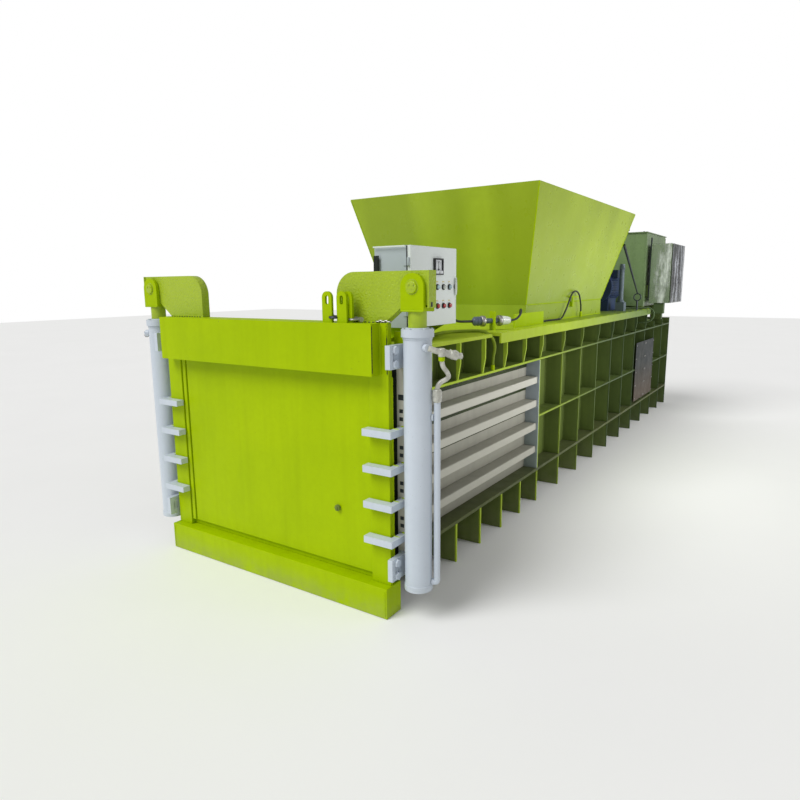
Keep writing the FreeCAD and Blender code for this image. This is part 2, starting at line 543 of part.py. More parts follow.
# ---------------------------------------------------------------- lifting gear
def build_lift():
    spot = ("liftX", "liftY")
    span = "(barrelTop - barrelBase)"
    both_sides("lift_barrels", tube("lift_barrel", "Z", "barrelRadius", "boreRadius", "barrelBase",
                                    span, spot))
    foot = cylinder("lift_foot", "Z", "footRadius", "barrelBase - footDrop", "footDrop", spot)
    gland = tube("lift_gland", "Z", "glandRadius", "rodRadius + fit", "barrelTop", "glandHeight", spot)
    brackets = []
    for k, z in enumerate(("barrelBase + footRadius", "(barrelBase + barrelTop) / 2",
                           "barrelTop - footRadius - saddleHeight")):
        brackets.append(cut(f"lift_bracket_{k}",
                            box(f"bracket_block_{k}", "postOuter", "liftX", "ringFront - saddleSet",
                                "bodyFront", z, f"{z} + saddleHeight"),
                            cylinder(f"bracket_seat_{k}", "Z", "barrelRadius + seatFit", f"{z} - 1",
                                     "saddleHeight + 2", spot)))
    both_sides("lift_cylinder_mounts", gland, foot, *brackets)
    piston_z = "(barrelBase + pistonLift)"
    rod = cylinder("lift_rod", "Z", "rodRadius", piston_z, f"rodTop - {piston_z}", spot)
    piston = cylinder("lift_piston", "Z", "boreRadius - fit", piston_z, "pistonHeight", spot)
    both_sides("lift_rods", fuse("lift_rod_solid", rod, piston))
    build_arms()
    build_clevises()
    build_pipes()


def build_arms():
    outline = [("armInner", "gateTop"), ("armNeckX", "gateTop"), ("armEyeX", "armEyeZ"),
               ("armOuter", "armEyeZ"), ("armOuter", "armTop"), ("armInner + armCorner", "armTop"),
               ("armInner", "armTop - armCorner")]
    blade = plate("arm_blade", "Y", "armFront", "armThick", outline)
    corner = cylinder("arm_corner", "Y", "armCorner", "armFront", "armThick",
                      ("armInner + armCorner", "armTop - armCorner"))
    eye = cylinder("arm_eye", "Y", "pinRadius + fit", "armFront - 1", "armThick + 2",
                   ("liftX", "pinZ"))
    cap = box("arm_cap", "armOuter", "armOuter + armCapThick", "armFront - armCapOver",
              "armFront + armThick + armCapOver", "armEyeZ - armCapRise", "armTop")
    both_sides("lift_arms", cut("lift_arm", fuse("arm_solid", blade, corner), eye), cap)


def build_clevises():
    rows = (("(armFront - clevisGap - clevisThick)", "front"),
            ("(armFront + armThick + clevisGap)", "rear"))
    x0, x1 = "(liftX - clevisHalf)", "(liftX + clevisHalf)"
    cheeks = []
    for y, side in rows:
        cheeks.append(box(f"clevis_plate_{side}", x0, x1, y, f"{y} + clevisThick", "rodTop", "pinZ"))
        cheeks.append(cylinder(f"clevis_crown_{side}", "Y", "clevisHalf", y, "clevisThick",
                               ("liftX", "pinZ")))
    floor = box("clevis_floor", x0, x1, rows[0][0], f"{rows[1][0]} + clevisThick",
                "rodTop", "armEyeZ - clevisRelief")
    hole = cylinder("clevis_hole", "Y", "pinRadius + fit", f"{rows[0][0]} - 1", "armThick * 3",
                    ("liftX", "pinZ"))
    clevis = cut("clevis", fuse("clevis_solid", *cheeks, floor), hole)
    pin = cylinder("clevis_pin", "Y", "pinRadius", f"{rows[0][0]} - pinHead",
                   "armThick + clevisGap * 2 + clevisThick * 2 + pinHead * 2", ("liftX", "pinZ"))
    both_sides("clevises", clevis, pin)


# ---------------------------------------------------------------- tubes along a route
def swept_tube(name, route, radius, bends=None):
    """A round tube on straight runs joined by tangent arcs, as large as the runs allow."""
    points = [FreeCAD.Vector(*p) for p in route]
    runs = [(b - a).Length for a, b in zip(points, points[1:])]
    edges = []
    start = points[0]
    for i in range(1, len(points) - 1):
        back = (points[i - 1] - points[i]).normalize()
        ahead = (points[i + 1] - points[i]).normalize()
        turn = math.pi - back.getAngle(ahead)
        reach = 0.45 * min(runs[i - 1], runs[i])
        bend = reach / math.tan(turn / 2)
        if bends:
            bend = min(bend, bends)
            reach = bend * math.tan(turn / 2)
        print(f"{name}: bend {i} radius {bend:.0f}")
        enter = points[i] + back * reach
        leave = points[i] + ahead * reach
        middle = points[i] + (back + ahead).normalize() * (bend / math.cos(turn / 2) - bend)
        edges.append(Part.LineSegment(start, enter).toShape())
        edges.append(Part.Arc(enter, middle, leave).toShape())
        start = leave
    edges.append(Part.LineSegment(start, points[-1]).toShape())
    path = Part.Wire(edges)
    section = Part.Wire(Part.makeCircle(radius, points[0], points[1] - points[0]))
    solid = path.makePipeShell([section], True, True)
    expected = math.pi * radius ** 2 * path.Length
    print(f"{name}: length {path.Length:.0f}, volume over section {solid.Volume / expected:.4f}")
    item = doc.addObject("Part::Feature", name)
    item.Shape = solid
    return item


def rod_between(name, start, end, radius, radius_end=None):
    """A straight round bar, or a taper, between two points."""
    a, b = FreeCAD.Vector(*start), FreeCAD.Vector(*end)
    item = doc.addObject("Part::Feature", name)
    if radius_end is None:
        item.Shape = Part.makeCylinder(radius, (b - a).Length, a, b - a)
    else:
        item.Shape = Part.makeCone(radius, radius_end, (b - a).Length, a, b - a)
    return item


def point(x=0.0, y=0.0, z=0.0):
    return FreeCAD.Vector(x, y, z)


def build_pipes():
    """The outer oil pipe of each lift cylinder, with its port above and its clamps."""
    hub = point(size("liftX"), size("liftY"))
    outward = point(size("pipeOut"), size("pipeAlong"))
    away = FreeCAD.Vector(outward).normalize()
    wall = hub + away * (size("barrelRadius") + size("seatFit"))
    elbow = point(z=size("barrelBase") + size("pipeRise"))
    fittings = [swept_tube("lift_pipe", [hub + outward + point(z=size("pipeTop")),
                                         hub + outward + elbow, wall + elbow],
                           size("pipeRadius"), bends=size("pipeBend"))]
    nut = doc.addObject("Part::Prism", "pipe_nut")
    nut.Polygon = 6
    bind(nut, Circumradius="pipeRadius + nutOver", Height="nutHeight")
    fittings.append(place(nut, "liftX + pipeOut", "liftY + pipeAlong", "pipeTop"))
    inner = hub + away * (outward.Length - size("pipeRadius") - size("seatFit"))
    level = point(z=size("barrelBase") + size("clampShare") * (size("pipeTop") - size("barrelBase")))
    fittings.append(rod_between("pipe_clamp", wall + level, inner + level, size("clampRadius")))
    outlet = point(0.89, -0.456)
    port = hub + outlet * size("barrelRadius") + point(z=size("portZ"))
    boss_end = port + outlet * size("teeArm")
    tee = hub + point(size("teeOut"), size("teeAlong"), size("teeZ"))
    back = (boss_end - tee).normalize()
    boss = rod_between("port_boss", port + outlet * 2, boss_end, size("portRadius"))
    arm = rod_between("port_arm", boss_end - back * 2, tee + back * size("teeArm"), size("portTube"))
    both_sides("lift_pipes", *fittings, fuse("port", boss, arm))
    half = point(z=size("teeHalf"))
    stub = point(size("stubOut"), size("stubAlong"), -size("stubDrop"))
    cap_end = tee + stub + FreeCAD.Vector(stub).normalize() * size("portRadius")
    node("port_tee",
         fuse("tee",
              rod_between("tee_body", tee - half, tee + half, size("portRadius")),
              rod_between("tee_inlet", tee, tee + back * size("teeArm"), size("portTube")),
              rod_between("tee_stub", tee, cap_end, size("stubRadius")),
              rod_between("tee_cap", tee + stub * size("capShare"), cap_end, size("stubCap"))),
         mirrored(rod_between("port_plug", tee + back * size("teeArm"), tee, size("portRadius"))))


# ---------------------------------------------------------------- ram and main cylinder
def build_ram():
    back = "(ramFace + ramDepth)"
    head = cut("ram_head_solid",
               box("ram_block", "-ramHalf", "ramHalf", "ramFace", back, "ramBottom", "ramTop"),
               box("ram_pocket", "ramPlate - ramHalf", "ramHalf - ramPlate", "ramFace + ramPlate",
                   f"{back} + 1", "ramBottom + ramPlate", "ramTop - ramPlate"))
    shield = box("shield_block", "-ramHalf", "ramHalf", back, f"{back} + shieldLength",
                 "ramTop - shieldThick", "ramTop")
    blade = box("blade_bar", "bladeInset - ramHalf", "ramHalf - bladeInset", "ramFace - ramBladeOut",
                "ramFace", "ramTop - ramBladeTall", "ramTop")
    node("ram_head", head, shield, blade)
    spot = ("0", "mainZ")
    rod = cylinder("ram_rod_bar", "Y", "mainRod", "ramFace + ramPlate",
                   "mainRear - 20 - ramFace - ramPlate", spot)
    piston = cylinder("ram_piston", "Y", "mainBore - fit", "mainRear - 20 - mainPiston",
                      "mainPiston", spot)
    node("ram_rod", fuse("ram_rod_solid", rod, piston))
    barrel_start = "(mainFront + glandDepth)"
    node("main_barrel", tube("main_tube", "Y", "mainOuter", "mainBore", barrel_start,
                             f"mainRear - {barrel_start}", spot))
    gland = tube("main_gland", "Y", "mainFlange", "mainRod + fit", "mainFront", "glandDepth", spot)
    cap = cylinder("main_cap", "Y", "mainFlange", "mainRear",
                   "bodyRear - bulkheadThick - mainRear", spot)
    saddles = []
    for k, y in enumerate(("mainFront + 400", "mainRear - 600")):
        saddles.append(cut(f"main_saddle_{k}",
                           box(f"saddle_block_{k}", "-saddleHalf", "saddleHalf", y,
                               f"{y} + saddleThick", "floorTop", "mainZ"),
                           cylinder(f"saddle_seat_{k}", "Y", "mainOuter + fit", f"{y} - 1",
                                    "saddleThick + 2", spot)))
    node("main_cylinder_mounts", gland, cap, *saddles)


# ---------------------------------------------------------------- control cabinet
def build_cabinet():
    shell = cut("cabinet_box",
                box("cabinet_block", "cabInner", "shellOuter", "cabFront", "cabRear",
                    "cabBottom", "cabTop"),
                box("cabinet_hollow", "cabInner + cabSheet", "shellOuter + 1",
                    "cabFront + cabSheet", "cabRear - cabSheet",
                    "cabBottom + cabSheet", "cabTop - cabSheet"))
    knuckles = []
    for k, z in enumerate(("cabBottom + hingeLow", "cabTop - hingeHigh")):
        knuckles.append(fuse(f"hinge_{k}",
                             box(f"hinge_leaf_{k}", "shellOuter - hingeTall / 2", "hingeX",
                                 "cabFront - hingeLeaf", "cabFront", z, f"{z} + hingeTall"),
                             cylinder(f"hinge_barrel_{k}", "Z", "hingeRadius", z, "hingeTall",
                                      ("hingeX", "hingeY"))))
    node("cabinet_shell", shell, *knuckles)
    profile = [("cabInner + bracketInset", "cabBottom"), ("cabOuter - bracketToe", "cabBottom"),
               ("cabInner + bracketToe", "deckTop"), ("cabInner + bracketInset", "deckTop")]
    front = plate("bracket_leg", "Y", "cabFront + bracketToe", "bracketThick", profile)
    rear = plate("bracket_leg_rear", "Y", "cabRear - bracketToe - bracketThick", "bracketThick", profile)
    web = box("bracket_web", "cabInner + bracketInset", "cabInner + bracketToe",
              "cabFront + bracketToe + bracketThick", "cabRear - bracketToe - bracketThick",
              "deckTop", "cabBottom")
    node("cabinet_bracket", front, rear, web)
    build_door()


def build_door():
    door = cut("door_tray",
               box("door_block", "doorInner", "cabOuter", "cabFront", "cabRear", "cabBottom", "cabTop"),
               box("door_pocket", "doorInner - 1", "cabOuter - doorSheet",
                   "cabFront + doorSheet", "cabRear - doorSheet",
                   "cabBottom + doorSheet", "cabTop - doorSheet"))
    through = ("doorInner - doorDepth", "doorDepth * 3")
    holes = [cylinder("handle_hole", "X", "spindleRadius + buttonFit", *through,
                      ("handleY", "handleZ"))]
    rings = []
    for row, (z, stem) in enumerate((("buttonHigh", "start_button"), ("buttonLow", "stop_button"))):
        for k in range(3):
            spot = (f"buttonY + buttonPitch * {k}", z)
            holes.append(cylinder(f"button_hole_{row}{k}", "X", "buttonRadius + buttonFit",
                                  *through, spot))
            rings.append(tube(f"button_ring_{row}{k}", "X", "buttonRing",
                              "buttonRadius + buttonFit", "cabOuter", "buttonRingOut", spot))
            node(f"{stem}_{k + 1}",
                 cylinder(f"button_{row}{k}", "X", "buttonRadius", "cabOuter - buttonStem",
                          "buttonOut + buttonStem", spot))
    node("cabinet_door", cut("door_panel", door, *holes), *rings)
    meter_case = box("meter_block", "cabOuter", "cabOuter + meterOut", "meterY", "meterY + meterWide",
                     "meterLow", "meterLow + meterTall")
    window = box("meter_hollow", "cabOuter + meterFloor", "cabOuter + meterOut + 1",
                 "meterY + meterRim", "meterY + meterWide - meterRim",
                 "meterLow + meterDial", "meterLow + meterTall - meterRim")
    node("meter_case", cut("meter_body", meter_case, window))
    needle = box("needle_blade", "cabOuter + meterFloor + 2", "cabOuter + meterFloor + 3.5",
                 "dialY - 1", "dialY + 1", "dialZ", "dialZ + needleLong")
    hub = cylinder("needle_hub", "X", "4", "cabOuter + meterFloor + buttonFit", "5", ("dialY", "dialZ"))
    node("meter_needle", fuse("needle_solid", needle, hub))
    grip = box("handle_grip", "cabOuter + buttonRingOut", "cabOuter + handleOut", "handleY - handleWide / 2",
               "handleY + handleWide / 2", "handleZ - handleLong / 2", "handleZ + handleLong / 2")
    spindle = cylinder("handle_spindle", "X", "spindleRadius", "cabOuter - buttonOut",
                       "buttonOut + buttonStem", ("handleY", "handleZ"))
    node("door_handle", fuse("handle_solid", grip, spindle))


# ---------------------------------------------------------------- power pack
def build_pack():
    tank = cut("tank_shell",
               box("tank_block", "tankInner", "tankOuter", "tankFront", "tankRear",
                   "tankBottom", "tankTop"),
               box("tank_hollow", "tankInner + tankWall", "tankOuter - tankWall",
                   "tankFront + tankWall", "tankRear - tankWall",
                   "tankBottom + tankWall", "tankTop + 1"))
    legs = []
    for k, (x0, x1) in enumerate((("tankOuter - legWide", "tankOuter"),
                                  ("tankInner", "tankInner + legWide"))):
        legs.append(box(f"tank_leg_front_{k}", x0, x1, "tankFront", "tankFront + legWide",
                        "deckTop", "tankBottom"))
    rail = box("tank_rail", "-footHalf", "footHalf", "railFront", "railRear",
               "tankBottom - railTall", "tankBottom")
    post = box("tank_post", "wallOuter", "footHalf", "railFront", "railRear",
               "rearTop", "tankBottom - railTall")
    lid = box("lid_plate", "tankInner - lidOver", "tankOuter + lidOver", "tankFront - lidOver",
              "tankRear + lidOver", "tankTop", "tankTop + lidThick")
    node("oil_tank", tank, lid)
    build_motor()
    build_cooler([*legs, rail, post, mirrored(post)])


def build_motor():
    spot = ("motorX", "motorZ")
    body = cylinder("motor_body", "Y", "motorRadius", "motorFront", "motorLength", spot)
    foot = box("motor_foot", "motorX - motorFoot", "motorX + motorFoot", "motorFront + motorFoot / 2",
               "motorRear - motorFoot / 2", "deckTop", "motorZ - motorRadius * 0.7")
    terminal = box("motor_terminal", "motorX + motorFoot / 2", "motorX + motorRadius + 25",
                   "motorFront + motorFoot", "motorRear - motorFoot - 40",
                   "motorZ + motorRadius - 75", "motorZ + motorRadius + 10")
    node("pump_motor", fuse("motor_solid", body, foot, terminal))
    bell = cylinder("pump_bell", "Y", "bellRadius", "motorRear", "bellLength", spot)
    pump = box("pump_body", "motorX - pumpHalf", "motorX + pumpHalf", "motorRear + bellLength",
               "motorRear + pumpLength", "motorZ - bellRadius + 10", "motorZ + bellRadius - 10")
    node("oil_pump", bell, pump)
    column = cylinder("filter_bowl", "Z", "filterRadius", "deckTop + filterHead", "filterTall",
                      ("filterX", "filterY"))
    head = box("filter_base", "filterX - filterHalf", "filterX + filterHalf", "filterY - filterHalf",
               "filterY + filterHalf", "deckTop", "deckTop + filterHead")
    node("filter_column", fuse("filter_solid", column, head))


def build_cooler(stand):
    inner = ("boxFront + boxSheet", "boxRear - boxSheet", "boxBottom + boxSheet", "boxTop - boxSheet")
    shell = cut("cooler_shell",
                box("cooler_block", "boxInner", "boxOuter", "boxFront", "boxRear", "boxBottom", "boxTop"),
                box("cooler_hollow", "boxInner + boxBack", "boxOuter - boxFace", *inner),
                cylinder("cooler_mouth", "X", "fanRadius + mouthOver", "boxOuter - boxFace - 1",
                         "boxFace + 2", ("fanY", "fanZ")))
    core = box("cooler_core", "boxInner + boxBack", "boxInner + boxBack + coreSlab", *inner)
    node("cooler_box", shell, core)
    hanger = box("cooler_hanger", "tankOuter", "boxInner", "boxFront + hangerLead",
                 "boxFront + hangerLead + hangerLong", "boxBottom + hangerRise",
                 "boxBottom + hangerRise + hangerTall")
    strut = box("cooler_strut", "strutInner", "strutOuter", "boxFront + strutLead",
                "boxFront + strutLead + strutLong", "deckTop - strutDrop", "boxBottom")
    foot = box("cooler_foot", "deckHalf + flangeThick", "strutInner", "boxFront + strutLead",
               "deckEnd", "deckTop - strutDrop", "deckTop - strutDrop + strutFoot")
    node("pack_stand", *stand, hanger, strut, foot)
    hub = cylinder("fan_hub", "X", "hubRadius", "boxOuter - fanBack", "fanDepth", ("fanY", "fanZ"))
    blades = []
    for k in range(6):
        blade = doc.addObject("Part::Box", f"fan_blade_{k}")
        bind(blade, Length="bladeLong", Width="fanRadius - bladeRoot - 4", Height="bladeTall")
        turn = FreeCAD.Rotation(FreeCAD.Vector(1, 0, 0), 60 * k)
        root = turn.multVec(point(0, size("bladeRoot"), -size("bladeTall") / 2))
        blade.Placement = FreeCAD.Placement(FreeCAD.Vector(), turn)
        place(blade, "boxOuter - fanBack + 4", f"fanY + {root.y:.3f}", f"fanZ + {root.z:.3f}")
        blades.append(blade)
    node("cooler_fan", fuse("fan_solid", hub, *blades))


# ---------------------------------------------------------------- covers and fittings
def build_fittings():
    both_sides("rear_covers",
               box("rear_cover", "footHalf", "footHalf + coverThick", "coverFront", "coverRear",
                   "coverLow", "coverHigh"))
    build_coupling()
    build_stay()


def build_coupling():
    """The plug and socket of the cabinet cable, on a tab across its axis."""
    axis = point(0.6, 0.8)
    middle = point(size("couplingX"), size("couplingY"), size("couplingZ"))

    def along(name, sign=1):
        return middle + axis * size(name) * sign

    node("cable_coupling",
         rod_between("plug_body", along("plugEnd", -1), along("plugRoot", -1), size("plugRadius")),
         rod_between("plug_ring", along("plugRoot", -1), along("plugSeat", -1), size("collarRadius")),
         rod_between("plug_neck", along("plugSeat", -1), along("neckEnd"), size("neckRadius")),
         rod_between("socket_ring", along("neckEnd"), along("socketSeat"), size("collarRadius")),
         rod_between("socket_cup", along("socketSeat"), along("socketEnd"), size("cupRadius"),
                     size("cupMouth")))
    tab = doc.addObject("Part::Box", "coupling_tab")
    bind(tab, Length="tabWide", Width="ribThick", Height="tabTall")
    tab.Placement = FreeCAD.Placement(FreeCAD.Vector(),
                                      FreeCAD.Rotation(FreeCAD.Vector(0, 1, 0), axis))
    place(tab, "couplingX - tabWide * 0.4 - ribThick * 0.3",
          "couplingY + tabWide * 0.3 - ribThick * 0.4", "deckTop")
    hole = rod_between("tab_hole", middle - axis * size("ribThick"), middle + axis * size("ribThick"),
                       size("neckRadius") + size("seatFit"))
    node("deck_tabs", cut("tab_plate", tab, hole), *deck_plates_and_blocks())


def deck_plates_and_blocks():
    """The guard plate, corner tabs, switch bracket and the ends that cords go into."""
    guard = box("deck_guard", "guardX", "guardX + guardThick", "guardY", "guardY + guardLength",
                "deckTop", "deckTop + guardHeight")
    corner = box("corner_tab", "deckHalf - cornerLap", "postOuter", "ringFront",
                 "ringFront + cornerThick", "deckTop", "deckTop + cornerTall")
    post = ("switchY", "switchY + switchFoot")
    stand = "(collarHalf + switchStand)"
    bracket = fuse("switch_bracket",
                   box("switch_root", "collarHalf", "collarHalf + switchArm", *post,
                       "switchZ - switchRoot", "switchZ - switchRoot / 2"),
                   box("switch_upright", stand, "collarHalf + switchArm", *post,
                       "switchZ - switchRoot / 2", "switchZ"),
                   box("switch_shelf", stand, f"{stand} + switchWide", "switchY - switchAhead",
                       "switchY - switchAhead + switchLong", "switchZ", "switchZ + switchThick"))
    block = box("hose_block", "blockX", "blockX + blockWide", "blockY", "blockY + blockLong",
                "deckTop", "deckTop + blockTall")
    gland = cylinder("switch_gland", "Z", "glandBar", "deckTop", "glandTall", ("glandX", "glandY"))
    hose_end = cylinder("hose_fitting", "Z", "fittingRadius", "shelfHigh", "hoseFootTall",
                        ("hoseFootX", "hoseFootY"))
    cable_end = cylinder("cable_fitting", "X", "fittingRadius", "wallOuter", "fittingLong",
                         ("cableEndY", "cableEndZ"))
    return [guard, corner, mirrored(corner), bracket, block, gland, hose_end, cable_end]


def build_stay():
    """A tapered bar from the hopper's corner down to an eye on the deck."""
    level = size("hookLevel")
    eye = point(size("eyeX"), size("eyeY"), size("eyeZ"))
    hook = point(size("collarHalf") + size("sideFlare") * level + size("hookSide"),
                 size("hopperRear") + size("rearFlare") * level + size("hookBack"),
                 size("collarTop") + size("hopperRise") * level)
    ring = doc.addObject("Part::Torus", "eye_ring")
    bind(ring, Radius1="ringRadius", Radius2="ringWire")
    ring.Placement = FreeCAD.Placement(eye, FreeCAD.Rotation(FreeCAD.Vector(1, 0, 0), 90))
    place(ring, "eyeX", "eyeY", "eyeZ")
    stem = cylinder("eye_stem", "Z", "stemRadius", "deckTop", "eyeRise - ringRadius - 2",
                    ("eyeX", "eyeY"))
    top = eye + point(z=size("ringRadius") - size("ringWire") / 2)
    stay = rod_between("stay_rod", hook, top, size("stayRoot"), size("stayTip"))
    node("hopper_stay", fuse("stay_solid", ring, stem, stay))


# ---------------------------------------------------------------- free cords
CORDS = {
    "deck_hose": (10, [(622, 420, 1326), (622, 505, 1326), (612, 600, 1318), (596, 690, 1317),
                       (588, 780, 1317), (566, 862, 1317), (554, 942, 1317), (568, 1018, 1317),
                       (608, 1076, 1317), (660, 1110, 1318), (716, 1130, 1318), (755, 1145, 1298),
                       (780, 1156, 1258), (785, 1161, 1208), (770, 1163, 1158), (770, 1163, 1110)]),
    "branch_hose": (11, [(1058, 30, 1288), (1058, 30, 1250), (1065, 70, 1216), (1058, 100, 1186),
                         (1016, 64, 1162), (1016, 64, 1132)]),
    "cabinet_cable": (8, [(600, 815, 1412), (600, 900, 1412), (584, 990, 1397), (556, 1075, 1381),
                          (532, 1160, 1369), (539, 1236, 1365), (569, 1276, 1365)]),
    "switch_cable": (7, [(731, 1492, 1365), (758, 1528, 1365), (766, 1590, 1398), (742, 1660, 1430),
                         (702, 1730, 1424), (668, 1810, 1384), (650, 1895, 1334), (648, 1990, 1312),
                         (658, 2090, 1312), (656, 2195, 1312), (642, 2300, 1312), (634, 2405, 1312),
                         (640, 2505, 1312), (652, 2595, 1312), (652, 2680, 1312), (642, 2752, 1314),
                         (640, 2812, 1344), (650, 2857, 1404), (656, 2897, 1468), (656, 2960, 1522),
                         (656, 3055, 1538), (656, 3145, 1508), (652, 3200, 1440), (648, 3232, 1396),
                         (648, 3232, 1352)]),
    "rear_cable": (9, [(655, 4590, 1345), (655, 4650, 1345), (640, 4730, 1328), (600, 4800, 1315),
                       (562, 4880, 1315), (562, 4965, 1315), (612, 5035, 1315), (690, 5075, 1316),
                       (772, 5098, 1318), (826, 5112, 1324), (866, 5117, 1300), (884, 5118, 1252),
                       (874, 5117, 1200), (832, 5115, 1164), (768, 5114, 1152), (696, 5114, 1152)]),
}


def build_cords():
    for name, (radius, route) in CORDS.items():
        node(name, swept_tube(f"{name}_tube", route, radius))


build_base()
build_ring()
build_sides()
build_top()
build_hopper()
build_gate()
build_guides()
build_lift()
build_ram()
build_cabinet()
build_pack()
build_fittings()
build_cords()

# ---------------------------------------------------------------- check and export
doc.recompute()
for thing in doc.Objects:
    if {"Invalid", "Error"} & set(thing.State):
        raise RuntimeError(f"{thing.Name} did not build: {thing.State}")
for label, thing in NODES.items():
    shape = thing.Shape
    if shape.isNull() or not shape.isValid() or not shape.Solids:
        raise RuntimeError(f"{label} has no valid solid")
os.makedirs("parts", exist_ok=True)
for label, thing in NODES.items():
    thing.Shape.exportStep(os.path.join("parts", f"{label}.step"))
print(len(NODES), "nodes written")
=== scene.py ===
import json
import math
import random

import bmesh
import bpy
from mathutils import Matrix, Vector, noise as wave


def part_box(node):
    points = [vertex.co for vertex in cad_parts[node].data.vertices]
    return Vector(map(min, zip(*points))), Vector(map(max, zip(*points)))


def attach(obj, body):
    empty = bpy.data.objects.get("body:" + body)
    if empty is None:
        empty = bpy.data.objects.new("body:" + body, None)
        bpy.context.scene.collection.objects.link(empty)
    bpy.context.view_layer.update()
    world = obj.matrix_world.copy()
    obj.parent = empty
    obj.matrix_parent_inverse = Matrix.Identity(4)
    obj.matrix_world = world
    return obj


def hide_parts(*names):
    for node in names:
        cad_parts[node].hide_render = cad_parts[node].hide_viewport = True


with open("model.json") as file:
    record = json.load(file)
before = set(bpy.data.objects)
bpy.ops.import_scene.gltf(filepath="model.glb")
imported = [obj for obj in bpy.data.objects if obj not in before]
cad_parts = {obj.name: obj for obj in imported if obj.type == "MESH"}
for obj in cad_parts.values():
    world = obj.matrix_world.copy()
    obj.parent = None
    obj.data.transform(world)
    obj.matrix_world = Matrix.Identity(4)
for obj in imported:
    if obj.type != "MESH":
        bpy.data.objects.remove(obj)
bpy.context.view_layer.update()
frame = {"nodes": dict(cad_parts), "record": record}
nodes = frame["nodes"]
print("frame loaded:", len(nodes), "nodes")


# camera, at the height of a standing person in front of the gate's right corner
cameraSettings = {"lens": 27.94, "sensor": 36.0, "place": (2.4098, -2.3242, 1.6),
                  "yaw": 33.76, "pitch": 10.5, "roll": -0.55}


def placeCamera(settings):
    yaw, pitch, roll = (math.radians(settings[key]) for key in ("yaw", "pitch", "roll"))
    ahead = Vector((-math.sin(yaw) * math.cos(pitch), math.cos(yaw) * math.cos(pitch), -math.sin(pitch)))
    level = Vector((math.cos(yaw), math.sin(yaw), 0))
    upright = level.cross(ahead)
    right = level * math.cos(roll) + upright * math.sin(roll)
    top = upright * math.cos(roll) - level * math.sin(roll)
    data = bpy.data.cameras.new("camera")
    data.lens = settings["lens"]
    data.sensor_width = settings["sensor"]
    data.clip_end = 200
    camera = bpy.data.objects.new("camera", data)
    axes = Matrix((right, top, -ahead)).transposed().to_4x4()
    camera.matrix_world = Matrix.Translation(Vector(settings["place"])) @ axes
    bpy.context.scene.collection.objects.link(camera)
    bpy.context.scene.camera = camera


placeCamera(cameraSettings)


# shader helpers
def addNode(tree, kind, inputs=None, **settings):
    item = tree.nodes.new(kind)
    for key, value in settings.items():
        setattr(item, key, value)
    for key, value in (inputs or {}).items():
        if isinstance(value, bpy.types.NodeSocket):
            tree.links.new(value, item.inputs[key])
        else:
            item.inputs[key].default_value = value
    return item


def startMaterial(name):
    material = bpy.data.materials.new(name)
    material.use_nodes = True
    tree = material.node_tree
    shader = tree.nodes["Principled BSDF"]
    place = addNode(tree, "ShaderNodeTexCoord").outputs["Object"]
    return material, tree, shader, place


def noise(tree, place, scale, detail=2.0, roughness=0.5, stretch=None):
    if stretch:
        place = addNode(tree, "ShaderNodeMapping", {"Vector": place, "Scale": stretch}).outputs[0]
    return addNode(tree, "ShaderNodeTexNoise", {"Vector": place, "Scale": scale, "Detail": detail,
                                                "Roughness": roughness}).outputs["Fac"]


def spread(tree, value, low, high, toLow=0.0, toHigh=1.0):
    # maps a value between two levels to another range, held at its ends
    return addNode(tree, "ShaderNodeMapRange", {"Value": value, "From Min": low, "From Max": high,
                                                "To Min": toLow, "To Max": toHigh}).outputs[0]


def blendColour(tree, factor, first, second, mode="MIX"):
    mix = addNode(tree, "ShaderNodeMix", data_type="RGBA", blend_type=mode)
    for index, value in ((0, factor), (6, first), (7, second)):
        if isinstance(value, bpy.types.NodeSocket):
            tree.links.new(value, mix.inputs[index])
        else:
            mix.inputs[index].default_value = (*value, 1) if isinstance(value, tuple) else value
    return mix.outputs[2]


def calculate(tree, operation, first, second=0.0):
    return addNode(tree, "ShaderNodeMath", {0: first, 1: second}, operation=operation).outputs[0]


def bump(tree, height, distance, strength=1.0, below=None):
    inputs = {"Height": height, "Distance": distance, "Strength": strength}
    if below is not None:
        inputs["Normal"] = below
    return addNode(tree, "ShaderNodeBump", inputs).outputs[0]


def scaled(colour, factor):
    return tuple(channel * factor for channel in colour)


# sprayed paint on steel plate; every coat starts from these values
paintDefaults = {"peel": 420, "peelDepth": 0.0002, "wave": 5.0, "waveDepth": 0.0022, "rough": (0.32, 0.50),
                 "streak": 0.16, "speck": 0.5, "dust": (0.27, 0.27, 0.16), "dustHeight": 0.22,
                 "dustAmount": 0.35, "chip": (0.10, 0.09, 0.07), "chipLevel": 0.74, "gloss": 0.14,
                 "edge": None, "shadeAndDustFade": None, "reflectionBands": 0.0, "mottle": 0.12}


